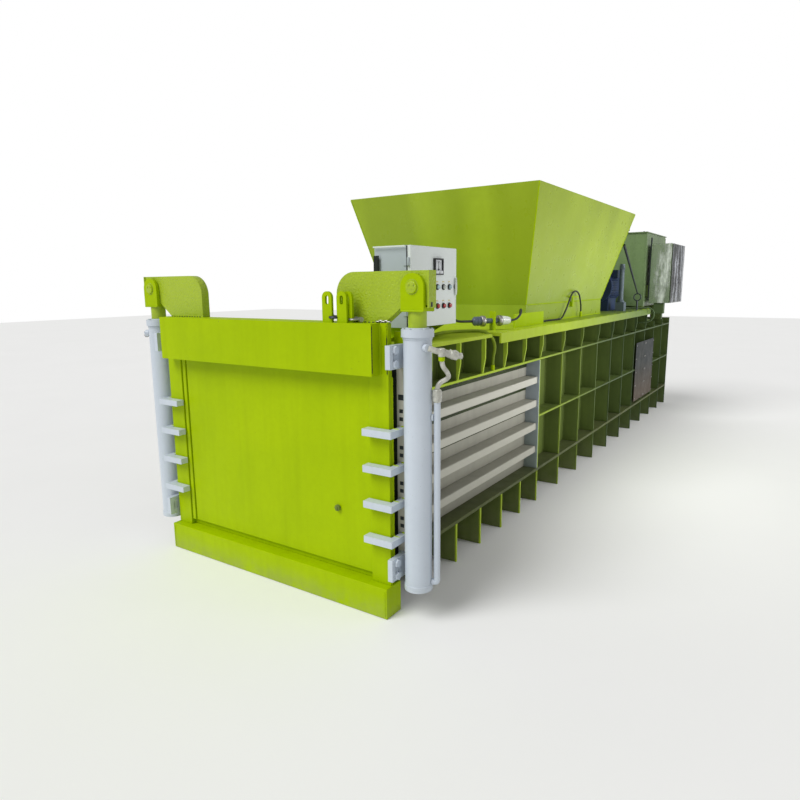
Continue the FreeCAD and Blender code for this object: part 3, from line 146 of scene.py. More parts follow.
def paint(name, colour, shade, changes):
    look = {**paintDefaults, **changes}
    material, tree, shader, place = startMaterial(name)
    patches = spread(tree, noise(tree, place, 1.7, 4.0, 0.6), 0.32, 0.70)
    base = blendColour(tree, patches, colour, shade)
    streaks = spread(tree, noise(tree, place, 1.0, 3.0, 0.6, (16, 16, 0.9)), 0.45, 0.75, 0.0, look["streak"])
    base = blendColour(tree, streaks, base, scaled(shade, 0.62))
    mottle = spread(tree, noise(tree, place, 26, 3.0, 0.6), 0.35, 0.65, 0.0, look["mottle"])
    base = blendColour(tree, mottle, base, scaled(shade, 0.75))
    specks = spread(tree, noise(tree, place, 130, 3.0, 0.7), 0.66, 0.72, 0.0, look["speck"])
    base = blendColour(tree, specks, base, scaled(shade, 0.45))
    spot = addNode(tree, "ShaderNodeSeparateXYZ", {0: place})
    low = spread(tree, spot.outputs[2], 0.0, look["dustHeight"], look["dustAmount"], 0.0)
    dusty = calculate(tree, "MULTIPLY", low, spread(tree, noise(tree, place, 9, 4.0, 0.7), 0.3, 0.6))
    base = blendColour(tree, dusty, base, look["dust"])
    chips = calculate(tree, "MULTIPLY", spread(tree, noise(tree, place, 55, 4.0, 0.75),
                                               look["chipLevel"] - 0.03, look["chipLevel"] - 0.01),
                      spread(tree, noise(tree, place, 4, 2.0), 0.45, 0.6))
    base = blendColour(tree, chips, base, look["chip"])
    if look["edge"]:
        # painted highlight: the outer edges are painted brighter than the bays between the ribs; with a far
        # colour, painted shade on the edges further back
        outward = calculate(tree, "ABSOLUTE", spot.outputs[0])
        edgeHighlightMask = spread(tree, outward, *look["edge"]["reach"])
        edgeHighlightColour = look["edge"]["colour"]
        if "far" in look["edge"]:
            farEdgeShadeMask = spread(tree, spot.outputs[1], *look["edge"]["along"])
            edgeHighlightColour = blendColour(tree, farEdgeShadeMask, edgeHighlightColour, look["edge"]["far"])
        base = blendColour(tree, edgeHighlightMask, base, edgeHighlightColour)
    if look["reflectionBands"]:
        # painted reflection: broad upright bands of sheen across a large sheet
        band = noise(tree, place, 1.0, 1.0, 0.5, (2.4, 1.5, 0.12))
        sheen = spread(tree, band, 0.42, 0.60, 0.0, look["reflectionBands"])
        base = blendColour(tree, sheen, base, scaled(shade, 0.72))
    if look["shadeAndDustFade"]:
        # painted shade: darker towards one end; on the dark covers the same blend lays a lighter brown dust
        # towards the bottom
        shadeAndDustMask = spread(tree, spot.outputs[look["shadeAndDustFade"]["axis"]], *look["shadeAndDustFade"]["reach"])
        base = blendColour(tree, shadeAndDustMask, base, look["shadeAndDustFade"]["colour"])
    tree.links.new(base, shader.inputs["Base Color"])
    rough = spread(tree, noise(tree, place, 11, 4.0, 0.6), 0.3, 0.7, *look["rough"])
    tree.links.new(rough, shader.inputs["Roughness"])
    shader.inputs["Specular IOR Level"].default_value = look["gloss"]
    waves = bump(tree, noise(tree, place, look["wave"], 2.0), look["waveDepth"])
    peel = bump(tree, noise(tree, place, look["peel"], 2.0, 0.4), look["peelDepth"], 1.0, waves)
    tree.links.new(peel, shader.inputs["Normal"])
    return material


# bare or plated steel with fine grain and a little staining
def metal(name, colour, rough, grain=(1, 1, 1), rust=0.0):
    material, tree, shader, place = startMaterial(name)
    tone = spread(tree, noise(tree, place, 14, 4.0, 0.6), 0.3, 0.7)
    base = blendColour(tree, tone, colour, scaled(colour, 0.72))
    stain = spread(tree, noise(tree, place, 60, 4.0, 0.7), 0.60, 0.75, 0.0, rust)
    base = blendColour(tree, stain, base, (0.16, 0.08, 0.035))
    tree.links.new(base, shader.inputs["Base Color"])
    fine = noise(tree, place, 500, 2.0, 0.5, grain)
    tree.links.new(spread(tree, fine, 0.3, 0.7, rough * 0.8, rough * 1.25), shader.inputs["Roughness"])
    shader.inputs["Metallic"].default_value = 0.9
    tree.links.new(bump(tree, fine, 0.0002), shader.inputs["Normal"])
    return material


# a chromed rod whose upper end was sprayed over with the body's paint
def rodFinish(name, settings):
    material, tree, shader, place = startMaterial(name)
    height = addNode(tree, "ShaderNodeSeparateXYZ", {0: place}).outputs[2]
    ragged = calculate(tree, "ADD", height, calculate(tree, "MULTIPLY", noise(tree, place, 60, 3.0), 0.012))
    sprayed = spread(tree, ragged, settings["sprayFrom"], settings["sprayFrom"] + 0.004)
    tone = spread(tree, noise(tree, place, 20, 3.0), 0.3, 0.7)
    chrome = blendColour(tree, tone, settings["chrome"], scaled(settings["chrome"], 0.85))
    coat = blendColour(tree, tone, settings["coat"], scaled(settings["coat"], 0.8))
    tree.links.new(blendColour(tree, sprayed, chrome, coat), shader.inputs["Base Color"])
    tree.links.new(spread(tree, sprayed, 0.0, 1.0, 0.95, 0.0), shader.inputs["Metallic"])
    tree.links.new(spread(tree, sprayed, 0.0, 1.0, 0.16, 0.42), shader.inputs["Roughness"])
    tree.links.new(bump(tree, noise(tree, place, 400, 2.0), 0.0001), shader.inputs["Normal"])
    return material


# moulded plastic or rubber
def moulded(name, colour, rough, tone=0.25, grain=700, depth=0.00012, coat=0.0):
    material, tree, shader, place = startMaterial(name)
    patches = spread(tree, noise(tree, place, 30, 3.0, 0.6), 0.3, 0.7)
    base = blendColour(tree, patches, colour, scaled(colour, 1 - tone))
    tree.links.new(base, shader.inputs["Base Color"])
    fine = noise(tree, place, grain, 2.0, 0.5)
    tree.links.new(spread(tree, fine, 0.3, 0.7, rough * 0.85, rough * 1.15), shader.inputs["Roughness"])
    shader.inputs["Coat Weight"].default_value = coat
    tree.links.new(bump(tree, fine, depth), shader.inputs["Normal"])
    return material


# thin packing film: clear in places, with bright creases that are partly whitened folds and partly painted
# highlights
def film(name, colour, cover, crease, dark=0.55):
    material, tree, shader, place = startMaterial(name)
    folds = noise(tree, place, 9, 5.0, 0.65, (1.0, 1.0, 0.22))
    creaseWhiteAndGlint = spread(tree, folds, *crease)
    base = blendColour(tree, creaseWhiteAndGlint, scaled(colour, dark), colour)
    tree.links.new(base, shader.inputs["Base Color"])
    tree.links.new(spread(tree, creaseWhiteAndGlint, 0.0, 1.0, *cover), shader.inputs["Alpha"])
    tree.links.new(spread(tree, folds, 0.3, 0.7, 0.12, 0.3), shader.inputs["Roughness"])
    tree.links.new(bump(tree, noise(tree, place, 16, 5.0, 0.7), 0.012), shader.inputs["Normal"])
    return material


greenPaint = paint("greenPaint", (0.405, 0.56, 0.0), (0.35, 0.50, 0.0), {"gloss": 0.07, "dustHeight": 0.12})
armPaint = paint("armPaint", (0.41, 0.54, 0.03), (0.36, 0.49, 0.015),
                 {"peel": 95, "peelDepth": 0.0045, "rough": (0.24, 0.36), "gloss": 0.45})
# painted shade: a darker copy of the green paint for the ribbed sides, with painted highlights on the rib
# edges, painted shade on the edges further back, darker towards the rear
recessShadePaint = paint("recessShadePaint", (0.185, 0.245, 0.055), (0.13, 0.175, 0.045),
                    {"streak": 0.35, "gloss": 0.08,
                     "edge": {"reach": (0.772, 0.778), "colour": (0.46, 0.62, 0.05),
                              "far": (0.085, 0.125, 0.045), "along": (1.0, 3.6)},
                     "shadeAndDustFade": {"axis": 1, "reach": (1.9, 5.0, 0.0, 0.5), "colour": (0.060, 0.095, 0.042)}})
# painted shade: the deck's flange and plates darker towards the rear
flangePaint = paint("flangePaint", (0.43, 0.56, 0.03), (0.37, 0.50, 0.02),
                    {"shadeAndDustFade": {"axis": 1, "reach": (2.2, 4.6, 0.0, 0.9), "colour": (0.13, 0.20, 0.06)}})
ledgePaint = paint("ledgePaint", (0.12, 0.14, 0.05), (0.09, 0.105, 0.05),
                   {"streak": 0.3, "gloss": 0.05, "dustAmount": 0.6})
# painted reflection in broad upright bands, and painted shade darker towards the hopper's foot
hopperPaint = paint("hopperPaint", (0.42, 0.55, 0.03), (0.37, 0.50, 0.02),
                    {"streak": 0.10, "wave": 2.2, "waveDepth": 0.008, "rough": (0.25, 0.38), "gloss": 0.3,
                     "speck": 0.05, "chipLevel": 0.90, "reflectionBands": 0.55,
                     "shadeAndDustFade": {"axis": 2, "reach": (1.85, 1.40, 0.0, 0.45), "colour": (0.22, 0.33, 0.02)}})
# painted reflection in broad upright bands
tankPaint = paint("tankPaint", (0.20, 0.29, 0.13), (0.15, 0.23, 0.10),
                  {"streak": 0.25, "wave": 2.5, "waveDepth": 0.006, "rough": (0.22, 0.35),
                   "gloss": 0.4, "reflectionBands": 0.4})
greyPaint = paint("greyPaint", (0.60, 0.66, 0.73), (0.54, 0.60, 0.67),
                  {"streak": 0.08, "speck": 0.4, "waveDepth": 0.0008, "chip": (0.30, 0.36, 0.10),
                   "gloss": 0.35, "rough": (0.28, 0.42), "mottle": 0.06})
# painted highlight on the bar noses against darker faces, and painted shade darker towards the bottom
barPaint = paint("barPaint", (0.54, 0.53, 0.46), (0.44, 0.43, 0.37),
                 {"streak": 0.2, "speck": 0.5, "waveDepth": 0.002, "rough": (0.4, 0.6), "gloss": 0.15,
                  "edge": {"reach": (0.755, 0.766), "colour": (0.66, 0.65, 0.57)},
                  "shadeAndDustFade": {"axis": 2, "reach": (1.06, 0.30, 0.0, 0.55), "colour": (0.22, 0.22, 0.17)}})
# darker and greener towards the bottom
endPaint = paint("endPaint", (0.46, 0.52, 0.58), (0.38, 0.44, 0.48),
                 {"gloss": 0.2,
                  "shadeAndDustFade": {"axis": 2, "reach": (0.80, 0.35, 0.0, 0.45), "colour": (0.20, 0.26, 0.16)}})
filterPaint = paint("filterPaint", (0.16, 0.20, 0.24), (0.11, 0.15, 0.18), {"gloss": 0.4})
cabinetPaint = paint("cabinetPaint", (0.80, 0.85, 0.83), (0.76, 0.81, 0.79),
                     {"peel": 900, "peelDepth": 0.00025, "waveDepth": 0.0006, "streak": 0.05,
                      "speck": 0.2, "chipLevel": 0.85, "gloss": 0.3, "mottle": 0.04})
shellPaint = paint("shellPaint", (0.50, 0.56, 0.59), (0.46, 0.52, 0.55),
                   {"peel": 900, "peelDepth": 0.00025, "waveDepth": 0.0006, "streak": 0.05, "speck": 0.2,
                    "chipLevel": 0.85, "gloss": 0.3, "mottle": 0.04})
coverPaint = paint("coverPaint", (0.030, 0.037, 0.040), (0.024, 0.028, 0.026),
                   {"streak": 0.3, "rough": (0.4, 0.55), "speck": 0.3, "gloss": 0.12,
                    "shadeAndDustFade": {"axis": 2, "reach": (0.70, 0.35, 0.0, 0.7), "colour": (0.10, 0.07, 0.045)}})
motorPaint = paint("motorPaint", (0.035, 0.06, 0.15), (0.025, 0.04, 0.10),
                   {"rough": (0.35, 0.5), "gloss": 0.4})
rodPaint = rodFinish("rodPaint", {"sprayFrom": 1.407, "chrome": (0.62, 0.63, 0.65),
                                  "coat": (0.41, 0.55, 0.02)})
# dark paint for seam beads, also used for the painted shadow strips under the wire slots
seamAndShadowPaint = paint("seamAndShadowPaint", (0.05, 0.07, 0.02), (0.03, 0.04, 0.02), {})
palePrimer = paint("palePrimer", (0.62, 0.60, 0.52), (0.50, 0.48, 0.42), {"speck": 0.8, "gloss": 0.2})
bareSteel = metal("bareSteel", (0.50, 0.49, 0.47), 0.38, (1, 1, 0.1), 0.35)
darkSteel = metal("darkSteel", (0.09, 0.10, 0.12), 0.42, (1, 1, 1), 0.2)
blackPlastic = moulded("blackPlastic", (0.018, 0.018, 0.02), 0.45, coat=0.1)
bluePlastic = moulded("bluePlastic", (0.10, 0.13, 0.19), 0.4, 0.35, coat=0.2)
redPlastic = moulded("redPlastic", (0.52, 0.02, 0.02), 0.25, coat=0.6)
whitePlastic = moulded("whitePlastic", (0.74, 0.78, 0.73), 0.3, coat=0.4)
paleBlue = moulded("paleBlue", (0.45, 0.62, 0.70), 0.3, coat=0.4)
paleYellow = moulded("paleYellow", (0.72, 0.62, 0.30), 0.4, 0.15)
dialFace = moulded("dialFace", (0.74, 0.77, 0.80), 0.35, 0.06, 900, 0.00004, 0.5)
blackRubber = moulded("blackRubber", (0.020, 0.022, 0.027), 0.55, grain=300, depth=0.0004)
darkHose = paint("darkHose", (0.10, 0.15, 0.06), (0.06, 0.09, 0.05), {"peel": 200, "rough": (0.4, 0.6)})
greenHose = paint("greenHose", (0.26, 0.36, 0.02), (0.10, 0.14, 0.02), {"peel": 200, "rough": (0.4, 0.6)})
wrappedHose = moulded("wrappedHose", (0.62, 0.62, 0.54), 0.22, 0.45, 60, 0.004, 0.8)
clearFilm = film("clearFilm", (0.74, 0.80, 0.72), (0.25, 0.85), (0.46, 0.62))
darkFilm = film("darkFilm", (0.42, 0.44, 0.48), (0.82, 0.96), (0.47, 0.66), 0.10)

slotMaterials = {
    "green_paint": greenPaint, "grey_paint": greyPaint, "bar_paint": barPaint,
    "cabinet_paint": cabinetPaint, "bare_steel": bareSteel, "motor_paint": motorPaint,
    "red_plastic": redPlastic, "white_plastic": whitePlastic, "black_plastic": blackPlastic,
    "black_rubber": blackRubber, "green_hose": greenHose, "wrapped_hose": wrappedHose,
    "cover_paint": coverPaint}

# nodes whose coat differs from the rest of their slot
nodeFinishes = {"side_ribs": recessShadePaint, "side_walls": recessShadePaint, "side_shelves": recessShadePaint,
                "floor_cross_plates": recessShadePaint, "hopper": hopperPaint, "hopper_collar": hopperPaint,
                "oil_tank": tankPaint, "cooler_box": tankPaint, "lift_arms": armPaint,
                "hopper_stay": darkSteel, "guide_bolts": greyPaint, "gate_lugs": greenPaint,
                "lift_rods": rodPaint, "floor_plate": ledgePaint, "deck_flanges": flangePaint,
                "deck_plates": flangePaint, "bale_end_plates": endPaint, "filter_column": filterPaint,
                "meter_needle": blackPlastic, "pack_stand": recessShadePaint, "cabinet_shell": shellPaint,
                "oil_pump": darkSteel}

# the library slot of a finish, where it isn't the green paint's
finishSlots = {"greyPaint": "grey_paint", "palePrimer": "grey_paint", "filterPaint": "grey_paint",
               "barPaint": "bar_paint", "cabinetPaint": "cabinet_paint", "coverPaint": "cover_paint",
               "motorPaint": "motor_paint", "bareSteel": "bare_steel", "darkSteel": "black_plastic",
               "blackPlastic": "black_plastic", "bluePlastic": "black_plastic", "blackRubber": "black_rubber",
               "whitePlastic": "white_plastic", "paleBlue": "white_plastic", "paleYellow": "white_plastic",
               "dialFace": "white_plastic", "redPlastic": "red_plastic", "wrappedHose": "wrapped_hose",
               "clearFilm": "wrapped_hose", "darkFilm": "wrapped_hose"}
print("materials made")


# CAD nodes: finishes, and a small rounding on their edges, in millimetres
edgeRounding = {"front_sill": 4, "gate_claws": 3, "guide_blocks": 3, "gate_leaf": 3, "gate_panel": 3,
                "lift_arms": 4, "clevises": 3, "deck_plates": 2,
                "deck_flanges": 2, "side_ribs": 2, "side_shelves": 2, "hopper": 1.5,
                "cabinet_shell": 1.5, "cabinet_door": 1.5, "wire_bars": 9, "oil_tank": 2,
                "cooler_box": 2, "pack_stand": 2, "rear_covers": 2, "floor_cross_plates": 2,
                "guide_bolts": 1.5, "bale_end_plates": 2, "deck_tabs": 2, "ram_head": 3, "meter_case": 1.5}


def roundEdges(piece, width, segments=2):
    weld = piece.modifiers.new("weld", "WELD")
    weld.merge_threshold = 0.00005
    bevel = piece.modifiers.new("bevel", "BEVEL")
    bevel.width = width
    bevel.segments = segments
    bevel.limit_method = "ANGLE"
    bevel.angle_limit = math.radians(38)
    bevel.harden_normals = True


for row in frame["record"]["subparts"]:
    cadNode = nodes[row["node"]]
    cadNode.data.materials.clear()
    cadNode.data.materials.append(nodeFinishes.get(row["node"], slotMaterials[row["material_slot"]]))
    if row["node"] in edgeRounding:
        roundEdges(cadNode, edgeRounding[row["node"]] / 1000)
print("CAD nodes finished")


# cords laid as curves on the frame: the same points as their CAD tubes, in metres
cordSettings = {
    "deck_hose": {"radius": 0.010, "material": greenHose, "slot": "green_hose", "stiffness": "stiff",
                  "points": [(0.622, 0.42, 1.326), (0.622, 0.505, 1.326), (0.612, 0.6, 1.318),
                             (0.596, 0.69, 1.317), (0.588, 0.78, 1.317), (0.566, 0.862, 1.317),
                             (0.554, 0.942, 1.317), (0.568, 1.018, 1.317), (0.608, 1.076, 1.317),
                             (0.66, 1.11, 1.318), (0.716, 1.13, 1.318), (0.755, 1.145, 1.298),
                             (0.78, 1.156, 1.258), (0.785, 1.161, 1.208), (0.77, 1.163, 1.158),
                             (0.77, 1.163, 1.11)], "length": 1.037},
    "branch_hose": {"radius": 0.011, "material": wrappedHose, "slot": "wrapped_hose", "stiffness": "stiff",
                    "points": [(1.058, 0.03, 1.288), (1.058, 0.03, 1.25), (1.065, 0.07, 1.216),
                               (1.058, 0.1, 1.186), (1.016, 0.064, 1.162), (1.016, 0.064, 1.132)],
                    "length": 0.210},
    "cabinet_cable": {"radius": 0.008, "material": blackRubber, "slot": "black_rubber", "stiffness": "medium",
                      "points": [(0.6, 0.815, 1.412), (0.6, 0.9, 1.412), (0.584, 0.99, 1.397),
                                 (0.556, 1.075, 1.381), (0.532, 1.16, 1.369), (0.539, 1.236, 1.365),
                                 (0.569, 1.276, 1.365)], "length": 0.482},
    "switch_cable": {"radius": 0.007, "material": blackRubber, "slot": "black_rubber", "stiffness": "medium",
                     "points": [(0.731, 1.492, 1.365), (0.758, 1.528, 1.365), (0.766, 1.59, 1.398),
                                (0.742, 1.66, 1.43), (0.702, 1.73, 1.424), (0.668, 1.81, 1.384),
                                (0.65, 1.895, 1.334), (0.648, 1.99, 1.312), (0.658, 2.09, 1.312),
                                (0.656, 2.195, 1.312), (0.642, 2.3, 1.312), (0.634, 2.405, 1.312),
                                (0.64, 2.505, 1.312), (0.652, 2.595, 1.312), (0.652, 2.68, 1.312),
                                (0.642, 2.752, 1.314), (0.64, 2.812, 1.344), (0.65, 2.857, 1.404),
                                (0.656, 2.897, 1.468), (0.656, 2.96, 1.522), (0.656, 3.055, 1.538),
                                (0.656, 3.145, 1.508), (0.652, 3.2, 1.44), (0.648, 3.232, 1.396),
                                (0.648, 3.232, 1.352)], "length": 1.998},
    "rear_cable": {"radius": 0.009, "material": darkHose, "slot": "black_rubber", "stiffness": "medium",
                   "points": [(0.655, 4.59, 1.345), (0.655, 4.65, 1.345), (0.64, 4.73, 1.328),
                              (0.6, 4.8, 1.315), (0.562, 4.88, 1.315), (0.562, 4.965, 1.315),
                              (0.612, 5.035, 1.315), (0.69, 5.075, 1.316), (0.772, 5.098, 1.318),
                              (0.826, 5.112, 1.324), (0.866, 5.117, 1.3), (0.884, 5.118, 1.252),
                              (0.874, 5.117, 1.2), (0.832, 5.115, 1.164), (0.768, 5.114, 1.152),
                              (0.696, 5.114, 1.152)], "length": 1.043},
}


def layCord(name, settings):
    curve = bpy.data.curves.new(name + "_run", "CURVE")
    curve.dimensions = "3D"
    curve.bevel_depth = settings["radius"]
    curve.bevel_resolution = 5
    curve.resolution_u = 10
    curve.use_fill_caps = True
    spline = curve.splines.new("NURBS")
    spline.points.add(len(settings["points"]) - 1)
    for spot, place in zip(spline.points, settings["points"]):
        spot.co = (*place, 1)
    spline.order_u = 3
    spline.use_endpoint_u = True
    cord = bpy.data.objects.new(name + "_run", curve)
    bpy.context.scene.collection.objects.link(cord)
    curve.materials.append(settings["material"])
    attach(cord, "frame")
    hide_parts(name)
    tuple(settings["points"][0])
    return cord


for cordName, cordRow in cordSettings.items():
    layCord(cordName, cordRow)
print("cords laid")


# mesh helpers: a shape is a pair of corner points and faces, and a piece is made of a list of shapes
outward, rearward, upward = Vector((1, 0, 0)), Vector((0, 1, 0)), Vector((0, 0, 1))
boxFaces = [(0, 1, 3, 2), (4, 6, 7, 5), (0, 4, 5, 1), (2, 3, 7, 6), (0, 2, 6, 4), (1, 5, 7, 3)]


def corners(node):
    low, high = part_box(node)
    return Vector(low), Vector(high)


def addPiece(name, shapes, material, body="frame", stands=(), crease=35, slot=None):
    verts, faces = [], []
    for shapeVerts, shapeFaces in shapes:
        start = len(verts)
        verts += [tuple(vert) for vert in shapeVerts]
        faces += [tuple(index + start for index in face) for face in shapeFaces]
    mesh = bpy.data.meshes.new(name)
    mesh.from_pydata(verts, [], faces)
    form = bmesh.new()
    form.from_mesh(mesh)
    bmesh.ops.recalc_face_normals(form, faces=form.faces)
    form.to_mesh(mesh)
    form.free()
    mesh.polygons.foreach_set("use_smooth", [True] * len(mesh.polygons))
    mesh.set_sharp_from_angle(angle=math.radians(crease))
    mesh.materials.append(material)
    piece = bpy.data.objects.new(name, mesh)
    bpy.context.scene.collection.objects.link(piece)
    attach(piece, body)
    slot or finishSlots.get(material.name, "green_paint")
    if stands:
        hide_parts(*stands)
    return piece


def sideways(direction):
    # the direction itself and two more, all square to each other
    ahead = Vector(direction).normalized()
    first = ahead.cross(upward if abs(ahead.z) < 0.9 else outward).normalized()
    return ahead, first, ahead.cross(first)


def skin(rings, count, capped=True):
    # faces between rings of points, closed by end caps or round to the first ring again
    total = rings * count
    faces = []
    for ring in range(rings - 1 if capped else rings):
        for k in range(count):
            a, b = ring * count + k, ring * count + (k + 1) % count
            faces.append((a, b, (b + count) % total, (a + count) % total))
    if capped:
        faces += [tuple(range(count - 1, -1, -1)), tuple(range(total - count, total))]
    return faces


def turned(start, direction, profile, count=32, lobes=None, hollow=False):
    # a turned form: profile rows are (distance along, radius)
    ahead, across, over = sideways(direction)
    verts = []
    for along, radius in profile:
        for k in range(count):
            angle = math.tau * k / count
            reach = radius * (lobes(angle) if lobes else 1)
            verts.append(Vector(start) + ahead * along
                         + across * (math.cos(angle) * reach) + over * (math.sin(angle) * reach))
    return verts, skin(len(profile), count, not hollow)


def hexNut(start, direction, radius, height, taper=0.86):
    return turned(start, direction, [(0, radius * taper), (height * 0.12, radius), (height * 0.88, radius),
                                     (height, radius * taper)], 6)


def block(low, high):
    verts = [(x, y, z) for x in (low[0], high[0]) for y in (low[1], high[1]) for z in (low[2], high[2])]
    return verts, boxFaces


def alongLine(points, radius, count=10, wobble=None):
    # a round bar along straight or curved points; wobble changes its radius on the way
    spots = [Vector(point) for point in points]
    verts = []
    for i, spot in enumerate(spots):
        ahead, across, over = sideways(spots[min(i + 1, len(spots) - 1)] - spots[max(i - 1, 0)])
        reach = radius * (wobble(i) if wobble else 1)
        for k in range(count):
            angle = math.tau * k / count
            verts.append(spot + across * (math.cos(angle) * reach) + over * (math.sin(angle) * reach))
    return verts, skin(len(spots), count)


def straight(start, end, count):
    start, end = Vector(start), Vector(end)
    return [start.lerp(end, i / count) for i in range(count + 1)]


def arcPoints(centre, first, second, radius, begin, end, count):
    # points on an arc in the plane of two directions, angles in degrees
    spots = []
    for i in range(count + 1):
        angle = math.radians(begin + (end - begin) * i / count)
        spots.append(Vector(centre) + Vector(first) * (radius * math.cos(angle))
                     + Vector(second) * (radius * math.sin(angle)))
    return spots


def knurled(count, depth):
    return lambda angle: 1 - depth * (0.5 + 0.5 * math.cos(angle * count))


# weld beads, rippled like a hand-laid bead
weldSettings = {"step": 0.007, "ripple": 0.22, "uneven": 0.18, "sides": 6, "seed": 11}


def run(place, axis, end, radius):
    # a straight bead from a place, along one axis as far as its end
    stop = list(place)
    stop["xyz".index(axis)] = end
    return tuple(place), tuple(stop), radius


def bothSides(rows):
    # the same beads on the left as on the right
    return list(rows) + [((-a[0], a[1], a[2]), (-b[0], b[1], b[2]), radius) for a, b, radius in rows]


def beads(lines):
    chance = random.Random(weldSettings["seed"])
    shapes = []
    for start, end, radius in lines:
        count = max(2, int((Vector(end) - Vector(start)).length / weldSettings["step"]))
        sizes = [1 + weldSettings["ripple"] * (i % 2) + chance.uniform(-1, 1) * weldSettings["uneven"]
                 for i in range(count + 1)]
        sizes[0] = sizes[-1] = 0.5
        shapes.append(alongLine(straight(start, end, count), radius, weldSettings["sides"],
                                lambda i, sizes=sizes: sizes[i]))
    return shapes


beamLow, beamHigh = corners("gate_top_beam")
armLow, armHigh = corners("lift_arms")
sillLow, sillHigh = corners("front_sill")
leafLow, leafHigh = corners("gate_leaf")
clawLow, clawHigh = corners("gate_claws")
panelLow, panelHigh = corners("gate_panel")
ringLow, ringHigh = corners("front_ring")
hopperLow, hopperHigh = corners("hopper")
collarLow, collarHigh = corners("hopper_collar")
deckLow, deckHigh = corners("deck_plates")

addPiece("gate_welds", beads(bothSides([
    run((0.49, armLow.y + 0.006, armLow.z), "x", 0.765, 0.006),
    run((0.0, beamHigh.y, beamLow.z), "x", beamHigh.x, 0.005),
    run((beamHigh.x, beamHigh.y, beamLow.z), "z", beamHigh.z - 0.004, 0.005),
    run((beamHigh.x - 0.01, beamLow.y + 0.005, beamLow.z + 0.01), "z", beamHigh.z - 0.01, 0.003),
    run((leafHigh.x, leafLow.y + 0.029, leafLow.z + 0.01), "z", beamLow.z - 0.01, 0.004)])),
    greenPaint, "gate")

clawSettings = {"levels": 4, "step": 0.177, "thick": 0.034}
clawLevels = [clawLow.z + clawSettings["step"] * k for k in range(clawSettings["levels"])]
frameWelds = []
for under in clawLevels:
    over = under + clawSettings["thick"]
    for z in (under, over):
        frameWelds.append(run((clawHigh.x - 0.030, ringLow.y, z), "x", clawHigh.x - 0.002, 0.005))
    frameWelds.append(run((clawHigh.x - 0.041, leafLow.y + 0.02, over), "x", clawHigh.x - 0.004, 0.003))
frameWelds += [
    run((sillHigh.x - 0.012, sillLow.y + 0.001, 0.01), "z", sillHigh.z - 0.01, 0.004),
    run((collarHigh.x + 0.002, collarLow.y, deckHigh.z), "y", collarHigh.y, 0.006),
    run((collarHigh.x + 0.001, collarLow.y + 0.02, collarHigh.z), "y", collarHigh.y - 0.02, 0.004),
    run((0.0, collarLow.y, deckHigh.z + 0.001), "x", collarHigh.x, 0.006)]
for y, foot in ((hopperLow.y + 0.002, collarLow.y), (hopperHigh.y - 0.002, collarHigh.y)):
    frameWelds.append(((hopperHigh.x - 0.002, y, hopperHigh.z - 0.004),
                       (collarHigh.x, foot, collarHigh.z), 0.004))
addPiece("frame_welds", beads(bothSides(frameWelds)), greenPaint)
print("welds laid")


# the ring beside the gate's right edge: a dark strip of painted shade for the gap, then a pale edge with
# pairs of square holes between claws, shown as dark plates of painted shade
ringEdge = {"gap": (0.770, 0.797), "pale": (0.7975, 0.8465), "hole": (0.812, 0.832), "holeTall": 0.018,
            "holeRise": (0.028, 0.066), "wideHole": (0.806, 0.838), "wideTall": (1.068, 1.094),
            "blockTop": 0.315, "blockUnder": 1.225, "out": 0.0012}


def onRing(span, layer, low, high):
    # a thin plate on the ring's front, in its first or second layer
    out = ringEdge["out"]
    return block((span[0], ringLow.y - out * layer, low), (span[1], ringLow.y - out * (layer - 1), high))


paleLow = [ringEdge["blockTop"]] + [level + clawSettings["thick"] for level in clawLevels]
paleHigh = clawLevels + [ringEdge["blockUnder"]]
holes = [onRing(ringEdge["hole"], 2, level + clawSettings["thick"] + rise,
                level + clawSettings["thick"] + rise + ringEdge["holeTall"])
         for level in clawLevels for rise in ringEdge["holeRise"]]
addPiece("ring_gap_shadow", [onRing(ringEdge["gap"], 1, ringEdge["blockTop"] - 0.09, ringEdge["blockUnder"] + 0.09)],
         blackRubber)
addPiece("ring_pale_edge", [onRing(ringEdge["pale"], 1, low + 0.001, high - 0.001)
                            for low, high in zip(paleLow, paleHigh)], palePrimer)
addPiece("ring_hole_shadows", holes + [onRing(ringEdge["wideHole"], 2, *ringEdge["wideTall"])], darkSteel)

# dark seams where the beam meets the arms and the strips
seamSettings = {"stitches": 12, "first": 0.500, "step": 0.0225, "long": 0.014}
seamLines = [run((beamHigh.x - 0.001, beamLow.y + 0.005, beamLow.z + 0.012), "z", beamHigh.z - 0.008, 0.0028),
             run((leafHigh.x - 0.006, leafLow.y - 0.0005, beamLow.z + 0.004), "z",
                 beamHigh.z - 0.006, 0.0026)]
for k in range(seamSettings["stitches"]):
    x = seamSettings["first"] + seamSettings["step"] * k
    seamLines.append(run((x, armLow.y - 0.002, armLow.z + 0.002), "x", x + seamSettings["long"], 0.003))
addPiece("gate_seams", beads(bothSides(seamLines)), seamAndShadowPaint, "gate")

# lifting lugs on the beam: a shackle in each slot, and a short chain to the beam's corner
shackleSettings = {"bow": 0.021, "wire": 0.0065, "pin": 0.0085,
                   "lug_shackle": {"along": 0.034, "back": 0.028, "rise": 0.024, "lean": 0.2},
                   "lug_shackle_small": {"along": 0.145, "back": 0.052, "rise": 0.014, "lean": -0.5}}


